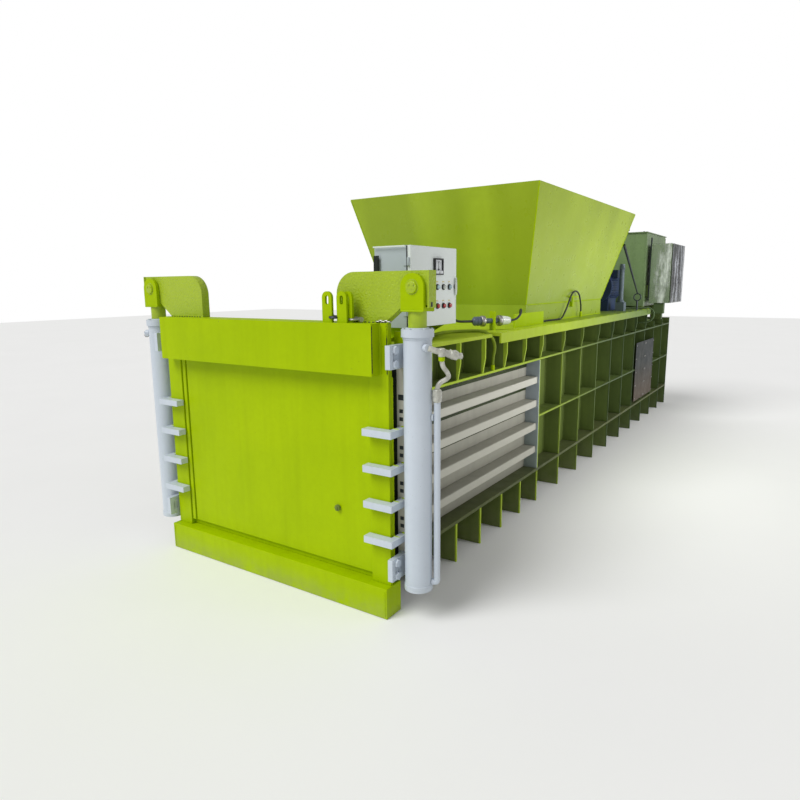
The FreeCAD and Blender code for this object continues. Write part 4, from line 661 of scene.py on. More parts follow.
def shackle(name, place, lean, material):
    # a bow lying over on the beam with its pin through the two ends
    bow, wire, pin = shackleSettings["bow"], shackleSettings["wire"], shackleSettings["pin"]
    out = Vector((math.sin(lean), -math.cos(lean), 0))
    across = Vector((math.cos(lean), math.sin(lean), 0))
    centre = Vector(place)
    points = [centre + across * bow] + arcPoints(centre + out * bow, across, out, bow, 0, 180, 14)
    points.append(centre - across * bow)
    pinLength = (bow + wire * 2.2) * 2
    shapes = [alongLine(points, wire, 10),
              turned(centre - across * (bow + wire * 2.2), across,
                     [(0, 0.7 * wire), (0.002, pin), (pinLength - 0.010, pin),
                      (pinLength - 0.009, wire * 1.9), (pinLength, wire * 1.8)], 18)]
    for side in (-1, 1):
        shapes.append(turned(centre + across * (side * bow - wire), across,
                             [(0, wire), (0.001, wire * 1.9), (wire * 2 - 0.001, wire * 1.9),
                              (wire * 2, wire)], 18))
    addPiece(name, shapes, material, "gate")


lugLow, lugHigh = corners("gate_lugs")
for name, material in (("lug_shackle", darkSteel), ("lug_shackle_small", bareSteel)):
    row = shackleSettings[name]
    shackle(name, (lugLow.x + 0.029 + row["along"], lugLow.y + row["back"], beamHigh.z + row["rise"]),
            row["lean"], material)

chainSettings = {"start": (0.742, -0.004, 1.4365), "end": (0.800, -0.001, 1.4365), "links": 5, "wire": 0.0035,
                 "length": 0.022, "width": 0.011}


def chainOnBeam(settings):
    start, end = Vector(settings["start"]), Vector(settings["end"])
    ahead = (end - start).normalized()
    aside = ahead.cross(upward).normalized()
    half, curl = settings["length"] / 2, settings["width"] / 2
    shapes = []
    for i in range(settings["links"]):
        centre = start.lerp(end, i / (settings["links"] - 1))
        over = aside if i % 2 == 0 else (aside * 0.6 + Vector((0, 0, 0.8))).normalized()
        points = arcPoints(centre + ahead * (half - curl), ahead, over, curl, -90, 90, 6)
        points += arcPoints(centre - ahead * (half - curl), ahead, over, curl, 90, 270, 6)
        shapes.append(alongLine(points + [points[0]], settings["wire"], 8))
    addPiece("lug_chain", shapes, bareSteel, "gate")


chainOnBeam(chainSettings)

# a twisted binding wire hanging from the chain's end down the strip
wireSettings = {"points": ((0.800, -0.003, 1.436), (0.8075, -0.024, 1.428), (0.8085, -0.034, 1.405),
                           (0.8080, -0.030, 1.378), (0.8085, -0.022, 1.358)),
                "wire": 0.0018, "twist": 0.0030, "turns": 7, "steps": 60}


def twistedWire(name, settings):
    spots = [Vector(point) for point in settings["points"]]
    steps = settings["steps"]
    centres = []
    for i in range(steps + 1):
        place = i / steps * (len(spots) - 1)
        k = min(int(place), len(spots) - 2)
        centres.append(spots[k].lerp(spots[k + 1], place - k))
    strands = []
    for phase in (0, math.pi):
        line = []
        for i, spot in enumerate(centres):
            ahead, across, over = sideways(centres[min(i + 1, steps)] - centres[max(i - 1, 0)])
            angle = phase + math.tau * settings["turns"] * i / steps
            line.append(spot + (across * math.cos(angle) + over * math.sin(angle)) * settings["twist"] * 0.5)
        strands.append(alongLine(line, settings["wire"], 6))
    addPiece(name, strands, greenPaint, "gate")


twistedWire("corner_wire", wireSettings)

# a bolt stub left on the panel
panelStub = {"place": (0.479, 0.493), "nut": 0.0169, "out": 0.020}
stubX, stubZ = panelStub["place"]
stubY = panelLow.y - panelStub["out"] + 0.001
addPiece("panel_stub", [turned((stubX, stubY, stubZ), rearward,
                               [(0, 0.006), (0.003, 0.009), (0.012, 0.009), (0.013, 0.014),
                                (panelStub["out"], 0.016)], 20),
                        hexNut((stubX, stubY + 0.007, stubZ), rearward, panelStub["nut"], 0.009)],
         recessShadePaint, "gate")
print("gate fittings made")


# lift cylinders: welded rings, rod wiper, saddles, pin heads, clevis welds and dark strips of painted shade
# in the arms' end slots
liftSettings = {"boltCount": 6, "boltReach": 0.064, "barrel": 0.065, "rod": 0.0425, "pinZ": 1.591,
                "saddleZ": (0.253, 0.283, 0.778, 0.808, 1.273, 1.303), "saddleY": (0.049, 0.091),
                "saddleX": (0.850, 0.868), "clevisY": (-0.0115, 0.0835), "clevisZ": 1.4865,
                "clevisHalf": 0.058,
                "slotY": (0.0217, 0.036), "slotZ": (1.5045, 1.5250), "slotDeep": 0.0055, "slotOut": 0.0006}
barrelLow, barrelHigh = corners("lift_barrels")
cylinderLow, cylinderHigh = corners("lift_cylinder_mounts")
radius = (barrelHigh.y - barrelLow.y) / 2
rod = liftSettings["rod"]
for sideName, sideSign in (("right", 1), ("left", -1)):
    pinX = (barrelHigh.x - liftSettings["barrel"]) * sideSign
    centre = Vector((pinX, (barrelLow.y + barrelHigh.y) / 2, 0))
    addPiece("barrel_rings_" + sideName, [
        turned(centre + Vector((0, 0, barrelLow.z - 0.004)), upward,
               [(0, radius + 0.001), (0.001, radius + 0.0028), (0.010, radius + 0.0028),
                (0.012, radius + 0.0012)], 56),
        turned(centre + Vector((0, 0, barrelHigh.z - 0.0115)), upward,
               [(0, radius + 0.001), (0.0015, radius + 0.0030), (0.0095, radius + 0.0030),
                (0.0112, radius + 0.0075)], 56)], greyPaint, crease=28)
    wiper = [turned(centre + Vector((0, 0, cylinderHigh.z)), upward,
                    [(0, rod + 0.013), (0.004, rod + 0.012), (0.0065, rod + 0.008), (0.0065, rod + 0.002),
                     (0, rod + 0.0008)], 48, hollow=True)]
    for k in range(liftSettings["boltCount"]):
        angle = math.tau * (k + 0.5) / liftSettings["boltCount"]
        reach = liftSettings["boltReach"]
        spot = centre + Vector((math.cos(angle) * reach, math.sin(angle) * reach, cylinderHigh.z - 0.001))
        wiper.append(turned(spot, upward, [(0, 0.0058), (0.005, 0.0058), (0.006, 0.005), (0.006, 0.003),
                                           (0.003, 0.0025)], 12))
    addPiece("rod_wiper_" + sideName, wiper, greyPaint)
    saddleX = [x * sideSign for x in liftSettings["saddleX"]]
    addPiece("saddle_welds_" + sideName,
             beads([run((saddleX[0], y, z), "x", saddleX[1], 0.004)
                    for z in liftSettings["saddleZ"] for y in liftSettings["saddleY"]]), greyPaint)
    pinZ = liftSettings["pinZ"]
    keeper = [turned((pinX, -0.0195, pinZ), rearward,
                     [(0, 0.024), (0.0012, 0.0275), (0.0075, 0.0290), (0.0084, 0.0290)], 40),
              turned((pinX, -0.0115, pinZ), rearward, [(0, 0.034), (0.0006, 0.0345)], 40)]
    for dx in (-0.012, 0.012):
        keeper.append(hexNut((pinX + dx, -0.0225, pinZ + 0.010), rearward, 0.0052, 0.0035))
    addPiece("pin_keeper_" + sideName, keeper, armPaint, "gate")
    half = liftSettings["clevisHalf"]
    addPiece("clevis_welds_" + sideName,
             beads([run((pinX - half, y, liftSettings["clevisZ"]), "x", pinX + half, 0.004)
                    for y in liftSettings["clevisY"]]), greenPaint, "gate")
    slotX = sorted(((armHigh.x + liftSettings["slotOut"]) * sideSign,
                    (armHigh.x - liftSettings["slotDeep"]) * sideSign))
    (y0, y1), (z0, z1) = liftSettings["slotY"], liftSettings["slotZ"]
    addPiece("arm_slot_shadow_" + sideName, [block((slotX[0], y0, z0), (slotX[1], y1, z1))], blackRubber, "gate")
print("lift cylinders dressed")


# wire-slot bars: flat welds where they meet the end plate, and thin dark strips of painted shadow on the
# strip face under each slot
barLow, barHigh = corners("wire_bars")
plateLow, plateHigh = corners("bale_end_plates")
barSettings = {"top": 1.062, "pitch": 0.172, "slot": 0.036, "face": 0.684, "faceOut": 0.0006,
               "slotShadowDepths": (0.021, 0.017, 0.013, 0.009), "tacks": (0.62, 1.31), "tackLong": 0.05}
barLines, slotShadowShapes = [], []
for level, depth in enumerate(barSettings["slotShadowDepths"]):
    top = barSettings["top"] - barSettings["pitch"] * level
    under = top - barSettings["pitch"]
    barLines.append(run((0.664, plateLow.y - 0.001, top - 0.110), "z", top - 0.038, 0.004))
    barLines.append(((0.6845, plateLow.y - 0.002, under + 0.004),
                     (0.768, plateLow.y - 0.002, under + 0.002), 0.0035))
    for y in barSettings["tacks"]:
        barLines.append(run((0.6845, y, top - 0.118), "y", y + barSettings["tackLong"], 0.003))
    slotShadowTop = top - barSettings["slot"]
    for sign in (1, -1):
        slotShadowX = sorted((barSettings["face"] * sign, (barSettings["face"] + barSettings["faceOut"]) * sign))
        slotShadowShapes.append(block((slotShadowX[0], barLow.y + 0.004, slotShadowTop - depth),
                                (slotShadowX[1], plateLow.y - 0.004, slotShadowTop - 0.001)))
addPiece("bar_welds", beads(bothSides(barLines)), barPaint)
addPiece("slot_shadow_strips", slotShadowShapes, seamAndShadowPaint, slot="bar_paint")

# rib welds: down the foot of each rib where it meets the wall, and under the shelves
ribSettings = {"tall": 10, "tallFrom": 1.928, "tallStep": 0.463, "short": 5,
               "shortFrom": 0.373, "shortStep": 0.311,
               "foot": 0.653, "shelf": (0.655, 0.780)}
foot, (shelfFrom, shelfTo) = ribSettings["foot"], ribSettings["shelf"]
ribLines = []
for k in range(ribSettings["tall"]):
    y = ribSettings["tallFrom"] + ribSettings["tallStep"] * k
    for z0, z1 in ((0.27, 0.63), (0.665, 1.055)):
        ribLines.append(run((foot, y - 0.001, z0), "z", z1, 0.005))
    ribLines.append(run((shelfFrom, y - 0.001, 0.656), "x", shelfTo, 0.004))
for k in range(ribSettings["short"]):
    y = ribSettings["shortFrom"] + ribSettings["shortStep"] * k
    ribLines.append(run((foot, y - 0.001, 1.09), "z", 1.27, 0.005))
    ribLines.append(run((shelfFrom, y - 0.001, 1.077), "x", shelfTo, 0.004))
addPiece("rib_welds", beads(bothSides(ribLines)), recessShadePaint)

# stitch welds along the deck's flange
stitchSettings = {"inset": 0.013, "long": 0.07, "step": 0.231}
flangeLow, flangeHigh = corners("deck_flanges")
deckLines = []
stitch = flangeLow.y + 0.04
while stitch < flangeHigh.y - 0.10:
    deckLines.append(run((flangeHigh.x - stitchSettings["inset"], stitch, deckHigh.z + 0.0005), "y",
                         stitch + stitchSettings["long"], 0.003))
    stitch += stitchSettings["step"]
addPiece("deck_stitches", beads(bothSides(deckLines)), greenPaint)
print("side welds laid")


# control cabinet: push buttons, meter, handle, seal and a side latch
cabinetSettings = {"plateWide": 0.020, "plateTall": 0.006, "startColours": (paleBlue, whitePlastic, paleBlue),
                   "dialTicks": 11, "tickLong": 0.005, "tickSpread": 48, "tickReach": 0.040,
                   "dialEdge": 0.0075}
shellLow, shellHigh = corners("cabinet_shell")
meterLow, meterHigh = corners("meter_case")
doorFace = meterLow.x


def pushButton(name, stands, cap):
    low, high = corners(stands)
    y, z = (low.y + high.y) / 2, (low.z + high.z) / 2
    radius = (high.y - low.y) / 2
    root, end = doorFace - low.x, high.x - low.x
    addPiece(name, [turned((low.x, y, z), outward,
                           [(0, radius - 0.001), (root + 0.007, radius - 0.001), (root + 0.0072, radius),
                            (end - 0.003, radius), (end - 0.0008, radius - 0.0012), (end, radius - 0.003),
                            (end - 0.0012, radius - 0.005), (end - 0.0014, 0.0005)], 40)],
             cap, stands, (stands,))
    addPiece(name + "_ring", [turned((doorFace + 0.0002, y, z), outward,
                                     [(0, radius + 0.0046), (0.0058, radius + 0.0046),
                                      (0.0070, radius + 0.0034),
                                      (0.0070, radius + 0.0009), (0, radius + 0.0009)], 40, hollow=True)],
             blackPlastic, "door")
    half, plateZ = cabinetSettings["plateWide"] / 2, z + radius + 0.014
    plateTop = plateZ + cabinetSettings["plateTall"]
    marker = addPiece(name + "_plate", [block((doorFace + 0.0002, y - half, plateZ),
                                              (doorFace + 0.0012, y + half, plateTop))], paleYellow, "door")
    roundEdges(marker, 0.0004)


for k, startColour in enumerate(cabinetSettings["startColours"], 1):
    pushButton(f"start_cap_{k}", f"start_button_{k}", startColour)
    pushButton(f"stop_cap_{k}", f"stop_button_{k}", redPlastic)

# dial face with an arc of ticks, behind the pointer
needleLow, needleHigh = corners("meter_needle")
edge = cabinetSettings["dialEdge"]
pivot = Vector((doorFace + 0.0062, (needleLow.y + needleHigh.y) / 2, meterLow.z + 0.028))
addPiece("dial_face", [block((doorFace + 0.0059, meterLow.y + edge, meterLow.z + 0.0225),
                             (doorFace + 0.00615, meterHigh.y - edge, meterHigh.z - edge))], dialFace, "door")
ticks = []
spreadAngle = cabinetSettings["tickSpread"]
for k in range(cabinetSettings["dialTicks"]):
    angle = math.radians(-spreadAngle + 2 * spreadAngle * k / (cabinetSettings["dialTicks"] - 1))
    out = Vector((0, math.sin(angle), math.cos(angle)))
    side = Vector((0, math.cos(angle), -math.sin(angle)))
    long = cabinetSettings["tickLong"] * (1.5 if k % 5 == 0 else 1)
    near = pivot + out * (cabinetSettings["tickReach"] - long / 2)
    ticks.append(([near + out * a + side * b + Vector((c, 0, 0)) for a in (-long / 2, long / 2)
                   for b in (-0.0006, 0.0006) for c in (0, 0.0003)], boxFaces))
ticks.append(alongLine(arcPoints(pivot + Vector((0.0002, 0, 0)), upward, rearward, 0.0435,
                                 -spreadAngle, spreadAngle, 24), 0.0005, 6))
addPiece("dial_ticks", ticks, blackPlastic, "door")
addPiece("dial_skirt", [block((meterHigh.x - 0.0008, meterLow.y + edge, meterLow.z + 0.0065),
                              (meterHigh.x + 0.0006, meterHigh.y - edge, meterLow.z + 0.0215))],
         dialFace, "door")
addPiece("meter_screw", [turned((meterHigh.x + 0.0004, pivot.y, meterLow.z + 0.011), outward,
                                [(0, 0.0055), (0.0012, 0.0055), (0.002, 0.0040), (0.002, 0.0008),
                                 (0.0012, 0.0004)], 20)], bareSteel, "door")

# swing handle: a flat grip that tapers, on a round escutcheon
gripSettings = {"rows": 12, "half": 0.009, "sink": 0.0022, "base": 0.0062}
handleLow, handleHigh = corners("door_handle")
handleY, handleZ = (handleLow.y + handleHigh.y) / 2, (handleLow.z + handleHigh.z) / 2
base = doorFace + gripSettings["base"]
gripVerts = []
for i in range(gripSettings["rows"] + 1):
    share = i / gripSettings["rows"]
    z = handleLow.z + (handleHigh.z - handleLow.z) * share
    half = gripSettings["half"] * (0.72 + 0.28 * math.sin(math.pi * min(1.0, share * 1.15)))
    lift = handleHigh.x - gripSettings["sink"] * (1 - math.sin(math.pi * share))
    gripVerts += [(base, handleY - half, z), (base + 0.003, handleY - half, z),
                  (lift, handleY - half * 0.62, z), (lift, handleY + half * 0.62, z),
                  (base + 0.003, handleY + half, z), (base, handleY + half, z)]
spindle = turned((handleLow.x, handleY, handleZ), outward,
                 [(0, 0.0055), (0.014, 0.0058), (0.0225, 0.0058)], 20)
addPiece("swing_handle", [(gripVerts, skin(gripSettings["rows"] + 1, 6)), spindle], whitePlastic, "handle",
         ("door_handle",))
addPiece("handle_escutcheon", [turned((doorFace + 0.0001, handleY, handleZ), outward,
                                      [(0, 0.0125), (0.003, 0.0125), (0.0042, 0.0112), (0.0042, 0.0068),
                                       (0, 0.0064)], 36, hollow=True)], blackPlastic, "door")

# seal between door and case, a closed latch plate on the case's side and a lip along its top
sealSettings = {"wide": 0.006, "x": (0.6772, 0.6798)}
(sealX0, sealX1), wide = sealSettings["x"], sealSettings["wide"]
y0, y1, z0, z1 = shellLow.y + 0.007, shellHigh.y - 0.003, shellLow.z + 0.003, shellHigh.z - 0.003
addPiece("door_seal", [block((sealX0, a, c), (sealX1, b, d))
                       for a, b, c, d in ((y0, y1, z0, z0 + wide), (y0, y1, z1 - wide, z1),
                                          (y0, y0 + wide, z0, z1), (y1 - wide, y1, z0, z1))], blackRubber)
latch = addPiece("side_latch", [block(shellLow + Vector(low), shellLow + Vector(high)) for low, high in (
    ((0.001, -0.0002, 0.255), (0.036, 0.0008, 0.365)), ((0.006, -0.0032, 0.275), (0.030, -0.0002, 0.345)))],
    coverPaint)
roundEdges(latch, 0.0008)
rainLip = addPiece("rain_lip", [block((shellLow.x, shellLow.y - 0.003, shellHigh.z - 0.008),
                                      (0.6755, shellLow.y - 0.0001, shellHigh.z - 0.0005))], cabinetPaint)
roundEdges(rainLip, 0.001)
print("cabinet fitted")


# cable coupling: ribbed grips and knurled rings about its slanted axis
couplingSettings = {"axis": (0.6, 0.8, 0.0), "middle": (0.656, 1.392, 1.365), "knurls": 22, "depth": 0.05,
                    "ringKnurls": 30, "ringDepth": 0.04}
axis = Vector(couplingSettings["axis"])


def onCoupling(along, profile, count, lobes=None):
    # a turned form on the coupling's axis, from a distance off its middle
    return turned(Vector(couplingSettings["middle"]) + axis * along, axis, profile, count, lobes)


ribs = knurled(couplingSettings["knurls"], couplingSettings["depth"])
ringRibs = knurled(couplingSettings["ringKnurls"], couplingSettings["ringDepth"])
addPiece("coupling_grip", [onCoupling(-0.145, [
    (0, 0.012), (0.003, 0.019), (0.010, 0.024), (0.012, 0.029), (0.020, 0.030), (0.022, 0.027),
    (0.030, 0.027), (0.032, 0.030), (0.044, 0.030), (0.046, 0.027), (0.057, 0.028)], 44, ribs)],
    bluePlastic, stands=("cable_coupling",), crease=50)
addPiece("coupling_rings", [
    onCoupling(-0.088, [(0, 0.026), (0.001, 0.033), (0.004, 0.035), (0.026, 0.035), (0.029, 0.033),
                        (0.030, 0.018)], 88, ringRibs),
    onCoupling(0.036, [(0, 0.018), (0.001, 0.033), (0.003, 0.035), (0.023, 0.035), (0.025, 0.033),
                       (0.026, 0.024)], 88, ringRibs)], bareSteel, crease=50)
addPiece("coupling_neck", [onCoupling(-0.058, [(0, 0.0168), (0.010, 0.0168), (0.011, 0.0155), (0.017, 0.0155),
                                               (0.018, 0.0168), (0.094, 0.0168)], 36)], bluePlastic)
addPiece("coupling_cup", [onCoupling(0.062, [(0, 0.024), (0.001, 0.031), (0.018, 0.030), (0.034, 0.028),
                                             (0.050, 0.025), (0.060, 0.0225), (0.063, 0.020),
                                             (0.063, 0.010)], 44)],
         whitePlastic)
print("coupling made")


# hydraulic port: crumpled film round the tee and its stub, tape below it and a wrapped pipe nut
portSettings = {"tee": (1.058, 0.030, 1.308), "inlet": (1.010, -0.005, 1.327), "stub": (0.056, 0.086, -0.024),
                "reach": 0.98, "pipeTop": (1.016, 0.064, 1.110), "plug": 0.0125, "plugNut": 0.0165,
                "nutRings": (-0.034, -0.028, -0.018, -0.008, 0.002, 0.012, 0.020, 0.026)}


def crumpled(points, radius, count, depth, seed, ends=0.75):
    # a wrapped bar: rings whose radius wanders with the folds of the film
    spots = [Vector(point) for point in points]
    verts = []
    for i, spot in enumerate(spots):
        ahead, across, over = sideways(spots[min(i + 1, len(spots) - 1)] - spots[max(i - 1, 0)])
        taper = ends if i in (0, len(spots) - 1) else 1
        for k in range(count):
            angle = math.tau * k / count
            out = across * math.cos(angle) + over * math.sin(angle)
            fold = wave.noise((spot + out * radius * 2.2) * 42 + Vector((seed, 0, 0)))
            fine = wave.noise((spot + out * radius * 2.0) * 110 + Vector((0, seed, 0)))
            verts.append(spot + out * (radius * taper * (1 + depth * fold + depth * 0.6 * fine)))
    return verts, skin(len(spots), count)


tee, inlet, stub, pipeTop = (Vector(portSettings[key]) for key in ("tee", "inlet", "stub", "pipeTop"))


def below(place, depth):
    return place - Vector((0, 0, depth))


addPiece("port_wrap", [
    crumpled(straight(inlet, tee, 14), 0.0135, 22, 0.16, 1.0, 0.9),
    crumpled(straight(tee - stub.normalized() * 0.004, tee + stub * 0.45, 14), 0.0165, 22, 0.16, 2.0, 0.9),
    crumpled(straight(tee + stub * 0.36, tee + stub * 0.76, 14), 0.0205, 26, 0.20, 3.0, 0.80),
    crumpled(straight(tee + stub * 0.70, tee + stub * portSettings["reach"], 10),
             0.0145, 24, 0.22, 6.0, 0.80),
    crumpled(straight(below(tee, -0.019), below(tee, 0.020), 10), 0.0165, 22, 0.14, 5.0)],
    wrappedHose, stands=("port_tee",), crease=60)
addPiece("port_tape", [crumpled(straight(below(tee, 0.018), below(tee, 0.040), 6), 0.0145, 22, 0.12, 9.0)],
         greenPaint, crease=60)
addPiece("pipe_nut_wrap", [crumpled([pipeTop + Vector((0, 0, z)) for z in portSettings["nutRings"]],
                                    0.0212, 26, 0.13, 7.0, 0.82)], wrappedHose, crease=60)
# the left port has a plug and a nut instead
plugRoot, plugTip = Vector((-inlet.x, inlet.y, inlet.z)), Vector((-tee.x, tee.y, tee.z))
plugAhead, plugLong = (plugTip - plugRoot).normalized(), (plugTip - plugRoot).length
plug = portSettings["plug"]
addPiece("port_plug", [turned(plugRoot, plugAhead, [(0, plug), (plugLong - 0.006, plug),
                                                    (plugLong - 0.004, 0.011)])], greyPaint)
addPiece("port_plug_cap", [hexNut(plugTip - plugAhead * 0.010, plugAhead, portSettings["plugNut"], 0.0095)],
         bareSteel)
print("ports wrapped")


# power pack: motor fins and cowl, bolted pump flange, filter cap
packSettings = {"motor": (0.420, 1.560), "radius": 0.165, "fins": 40, "finOut": 0.013, "finThick": 0.004,
                "finReach": (4.455, 4.800), "bare": ((60, 120), (235, 305)),
                "cowl": ((4.4205, 4.452), (4.802, 4.838)),
                "holes": 24, "holeReach": (0.050, 0.080, 0.110, 0.138), "holeY": 4.4208, "bolts": 8,
                "boltReach": 0.082, "flangeY": 4.9415, "filter": (0.655, 4.545),
                "filterFoot": 1.3955, "bowl": 0.024}
motorX, motorZ = packSettings["motor"]


def roundMotor(angle, reach, y):
    return Vector((motorX + math.cos(angle) * reach, y, motorZ + math.sin(angle) * reach))


finShapes = []
for k in range(packSettings["fins"]):
    angle = math.tau * (k + 0.5) / packSettings["fins"]
    if any(math.radians(low) < angle < math.radians(high) for low, high in packSettings["bare"]):
        continue
    base, out = Vector((motorX, 0, motorZ)), Vector((math.cos(angle), 0, math.sin(angle)))
    side = Vector((-math.sin(angle), 0, math.cos(angle)))
    finShapes.append(([base + out * reach + side * (packSettings["finThick"] * 0.5 * thick * turn)
                       + Vector((0, y, 0))
                       for reach, thick in ((packSettings["radius"] - 0.002, 1.0),
                                            (packSettings["radius"] + packSettings["finOut"], 0.6))
                       for y in packSettings["finReach"] for turn in (-1, 1)], boxFaces))
for y0, y1 in packSettings["cowl"]:
    finShapes.append(turned((motorX, y0, motorZ), rearward,
                            [(0, 0.160), (0.003, 0.169), (y1 - y0 - 0.003, 0.169), (y1 - y0, 0.165)], 64))
for k in range(packSettings["holes"]):
    for reach in packSettings["holeReach"]:
        spot = roundMotor(math.tau * k / packSettings["holes"] + reach * 9, reach, packSettings["holeY"])
        finShapes.append(turned(spot, (0, -1, 0), [(0, 0.0062), (0.0022, 0.0058), (0.0028, 0.0045)], 8))
addPiece("motor_fins", finShapes, motorPaint, crease=30)
flangeY = packSettings["flangeY"]
flangeShapes = [hexNut(roundMotor(math.tau * (k + 0.5) / packSettings["bolts"], packSettings["boltReach"],
                                  flangeY + 0.009), rearward, 0.008, 0.007)
                for k in range(packSettings["bolts"])]
flangeShapes.append(turned((motorX, flangeY, motorZ), rearward,
                           [(0, 0.090), (0.001, 0.094), (0.008, 0.094), (0.009, 0.090)], 48))
addPiece("pump_bolts", flangeShapes, darkSteel)

filterX, filterY = packSettings["filter"]
filterLow, filterHigh = corners("filter_column")
filterFoot, bowl = packSettings["filterFoot"], packSettings["bowl"]
addPiece("filter_cap", [
    turned((filterX, filterY, filterFoot), upward,
           [(0, bowl + 0.012), (0.004, bowl + 0.013), (0.016, bowl + 0.013), (0.019, bowl + 0.004),
            (0.024, bowl + 0.0015)], 48),
    turned((filterX, filterY, filterHigh.z - 0.064), upward,
           [(0, bowl + 0.0008), (0.001, bowl + 0.004), (0.018, bowl + 0.005), (0.040, bowl + 0.003),
            (0.056, bowl - 0.001), (0.062, bowl - 0.010), (0.0636, 0.003)], 48, knurled(20, 0.02)),
    hexNut((filterX, filterY, filterFoot + 0.019), upward, 0.030, 0.010)], filterPaint, crease=40)
print("power pack dressed")


# oil tank: lid bars, bolts and filler cap, a level gauge and weld seams
tankLow, tankHigh = corners("oil_tank")
tankSettings = {"lidBars": 5, "gauge": (-0.20, 1.86, 2.06), "filler": (0.45, 5.40),
                "boltX": 0.16, "boltY": 0.5,
                "overhang": 0.012, "louvres": 22, "louvreFrom": 1.42, "louvreRun": 0.66,
                "strip": (5.285, 5.300, 1.40, 2.10)}
lidZ = tankHigh.z
lidShapes = []
for k in range(tankSettings["lidBars"]):
    y = tankLow.y + 0.12 + (tankHigh.y - tankLow.y - 0.24) * k / (tankSettings["lidBars"] - 1)
    lidShapes.append(block((tankLow.x + 0.03, y - 0.008, lidZ), (tankHigh.x - 0.03, y + 0.008, lidZ + 0.010)))
for x in (tankLow.x + 0.05, tankSettings["boltX"], tankHigh.x - 0.05):
    for y in (tankLow.y + 0.03, tankLow.y + tankSettings["boltY"], tankHigh.y - 0.03):
        lidShapes.append(hexNut((x, y, lidZ), upward, 0.010, 0.007))
lidShapes.append(turned((*tankSettings["filler"], lidZ), upward,
                        [(0, 0.040), (0.006, 0.042), (0.008, 0.034), (0.034, 0.034), (0.036, 0.046),
                         (0.058, 0.046), (0.062, 0.040)], 40, knurled(14, 0.04)))
addPiece("tank_lid_bars", lidShapes, coverPaint)
gaugeX, gaugeLow, gaugeHigh = tankSettings["gauge"]
tankWall, tankBack = tankLow.y + tankSettings["overhang"], tankHigh.y - tankSettings["overhang"]
gauge = [block((gaugeX - 0.016, tankWall - 0.012, gaugeLow), (gaugeX + 0.016, tankWall + 0.002, gaugeHigh))]
for z in (gaugeLow + 0.014, gaugeHigh - 0.014):
    gauge.append(turned((gaugeX, tankWall - 0.012, z), (0, -1, 0),
                        [(0, 0.009), (0.005, 0.009), (0.006, 0.007)], 20))
addPiece("level_gauge", gauge, blackPlastic)
tubeEnds = [(gaugeX, tankWall - 0.0135, z) for z in (gaugeLow + 0.030, gaugeHigh - 0.030)]
addPiece("gauge_tube", [alongLine(tubeEnds, 0.006, 14)], paleYellow)
tankEdges = (tankLow.x + 0.013, tankHigh.x - 0.013)
addPiece("tank_seams", beads([run((x, tankWall + 0.001, 1.345), "z", lidZ - 0.020, 0.004)
                              for x in tankEdges]), tankPaint)

# back of the pack and the body: a bolted hatch, a drain and weld seams
rearSettings = {"hatch": (-0.10, 0.42, 1.50, 1.98), "hatchThick": 0.006, "boltInset": 0.02,
                "drain": (0.60, 1.385),
                "seamZ": (0.262, 0.70), "seamHalf": 0.640}
hatchX0, hatchX1, hatchZ0, hatchZ1 = rearSettings["hatch"]
face, inset = tankBack + rearSettings["hatchThick"], rearSettings["boltInset"]
hatch = addPiece("tank_hatch", [block((hatchX0, tankBack, hatchZ0), (hatchX1, face, hatchZ1))], tankPaint)
roundEdges(hatch, 0.002)
hatchBolts = []
for k in range(5):
    x = hatchX0 + inset + (hatchX1 - hatchX0 - 2 * inset) * k / 4
    z = hatchZ0 + inset + (hatchZ1 - hatchZ0 - 2 * inset) * k / 4
    spots = [(x, hatchZ0 + inset), (x, hatchZ1 - inset)]
    if 0 < k < 4:
        spots += [(hatchX0 + inset, z), (hatchX1 - inset, z)]
    hatchBolts += [hexNut((spot[0], face, spot[1]), rearward, 0.009, 0.006) for spot in spots]
drainX, drainZ = rearSettings["drain"]
hatchBolts.append(turned((drainX, tankBack - 0.001, drainZ), rearward,
                         [(0, 0.030), (0.008, 0.030), (0.009, 0.026), (0.010, 0.022)], 32))
hatchBolts.append(hexNut((drainX, tankBack + 0.009, drainZ), rearward, 0.019, 0.014))
addPiece("hatch_bolts", hatchBolts, bareSteel)
wallLow, wallHigh = corners("side_walls")
rearLines = [run((-rearSettings["seamHalf"], wallHigh.y - 0.006, z), "x", rearSettings["seamHalf"], 0.004)
             for z in rearSettings["seamZ"]]
rearLines += [run((x, tankBack, 1.35), "z", lidZ - 0.025, 0.004) for x in tankEdges]
addPiece("rear_seams", beads(rearLines), recessShadePaint)

# cooler box: wire guard over the fan mouth, film over its faces, louvres beside the tank
coolerLow, coolerHigh = corners("cooler_box")
fanLow, fanHigh = corners("cooler_fan")
coolerSettings = {"rings": 7, "firstRing": 0.040, "ringStep": 0.0315, "spokes": 8,
                  "spokeReach": (0.030, 0.236),
                  "wire": 0.0025, "filmGap": 0.0035, "front": (0.214, 0.955), "side": (0.700, 0.655),
                  "topFilm": 0.30}
fanX, fanY, fanZ = coolerHigh.x + 0.0035, (fanLow.y + fanHigh.y) / 2, (fanLow.z + fanHigh.z) / 2
guard = []
for k in range(coolerSettings["rings"]):
    radius = coolerSettings["firstRing"] + coolerSettings["ringStep"] * k
    guard.append(alongLine(arcPoints((fanX, fanY, fanZ), rearward, upward, radius, 0, 360, 56),
                           coolerSettings["wire"], 6))
for k in range(coolerSettings["spokes"]):
    angle = math.tau * k / coolerSettings["spokes"]
    near, far = (Vector((fanX - 0.003, fanY + math.cos(angle) * reach, fanZ + math.sin(angle) * reach))
                 for reach in coolerSettings["spokeReach"])
    guard.append(alongLine(straight(near, far, 2), coolerSettings["wire"], 6))
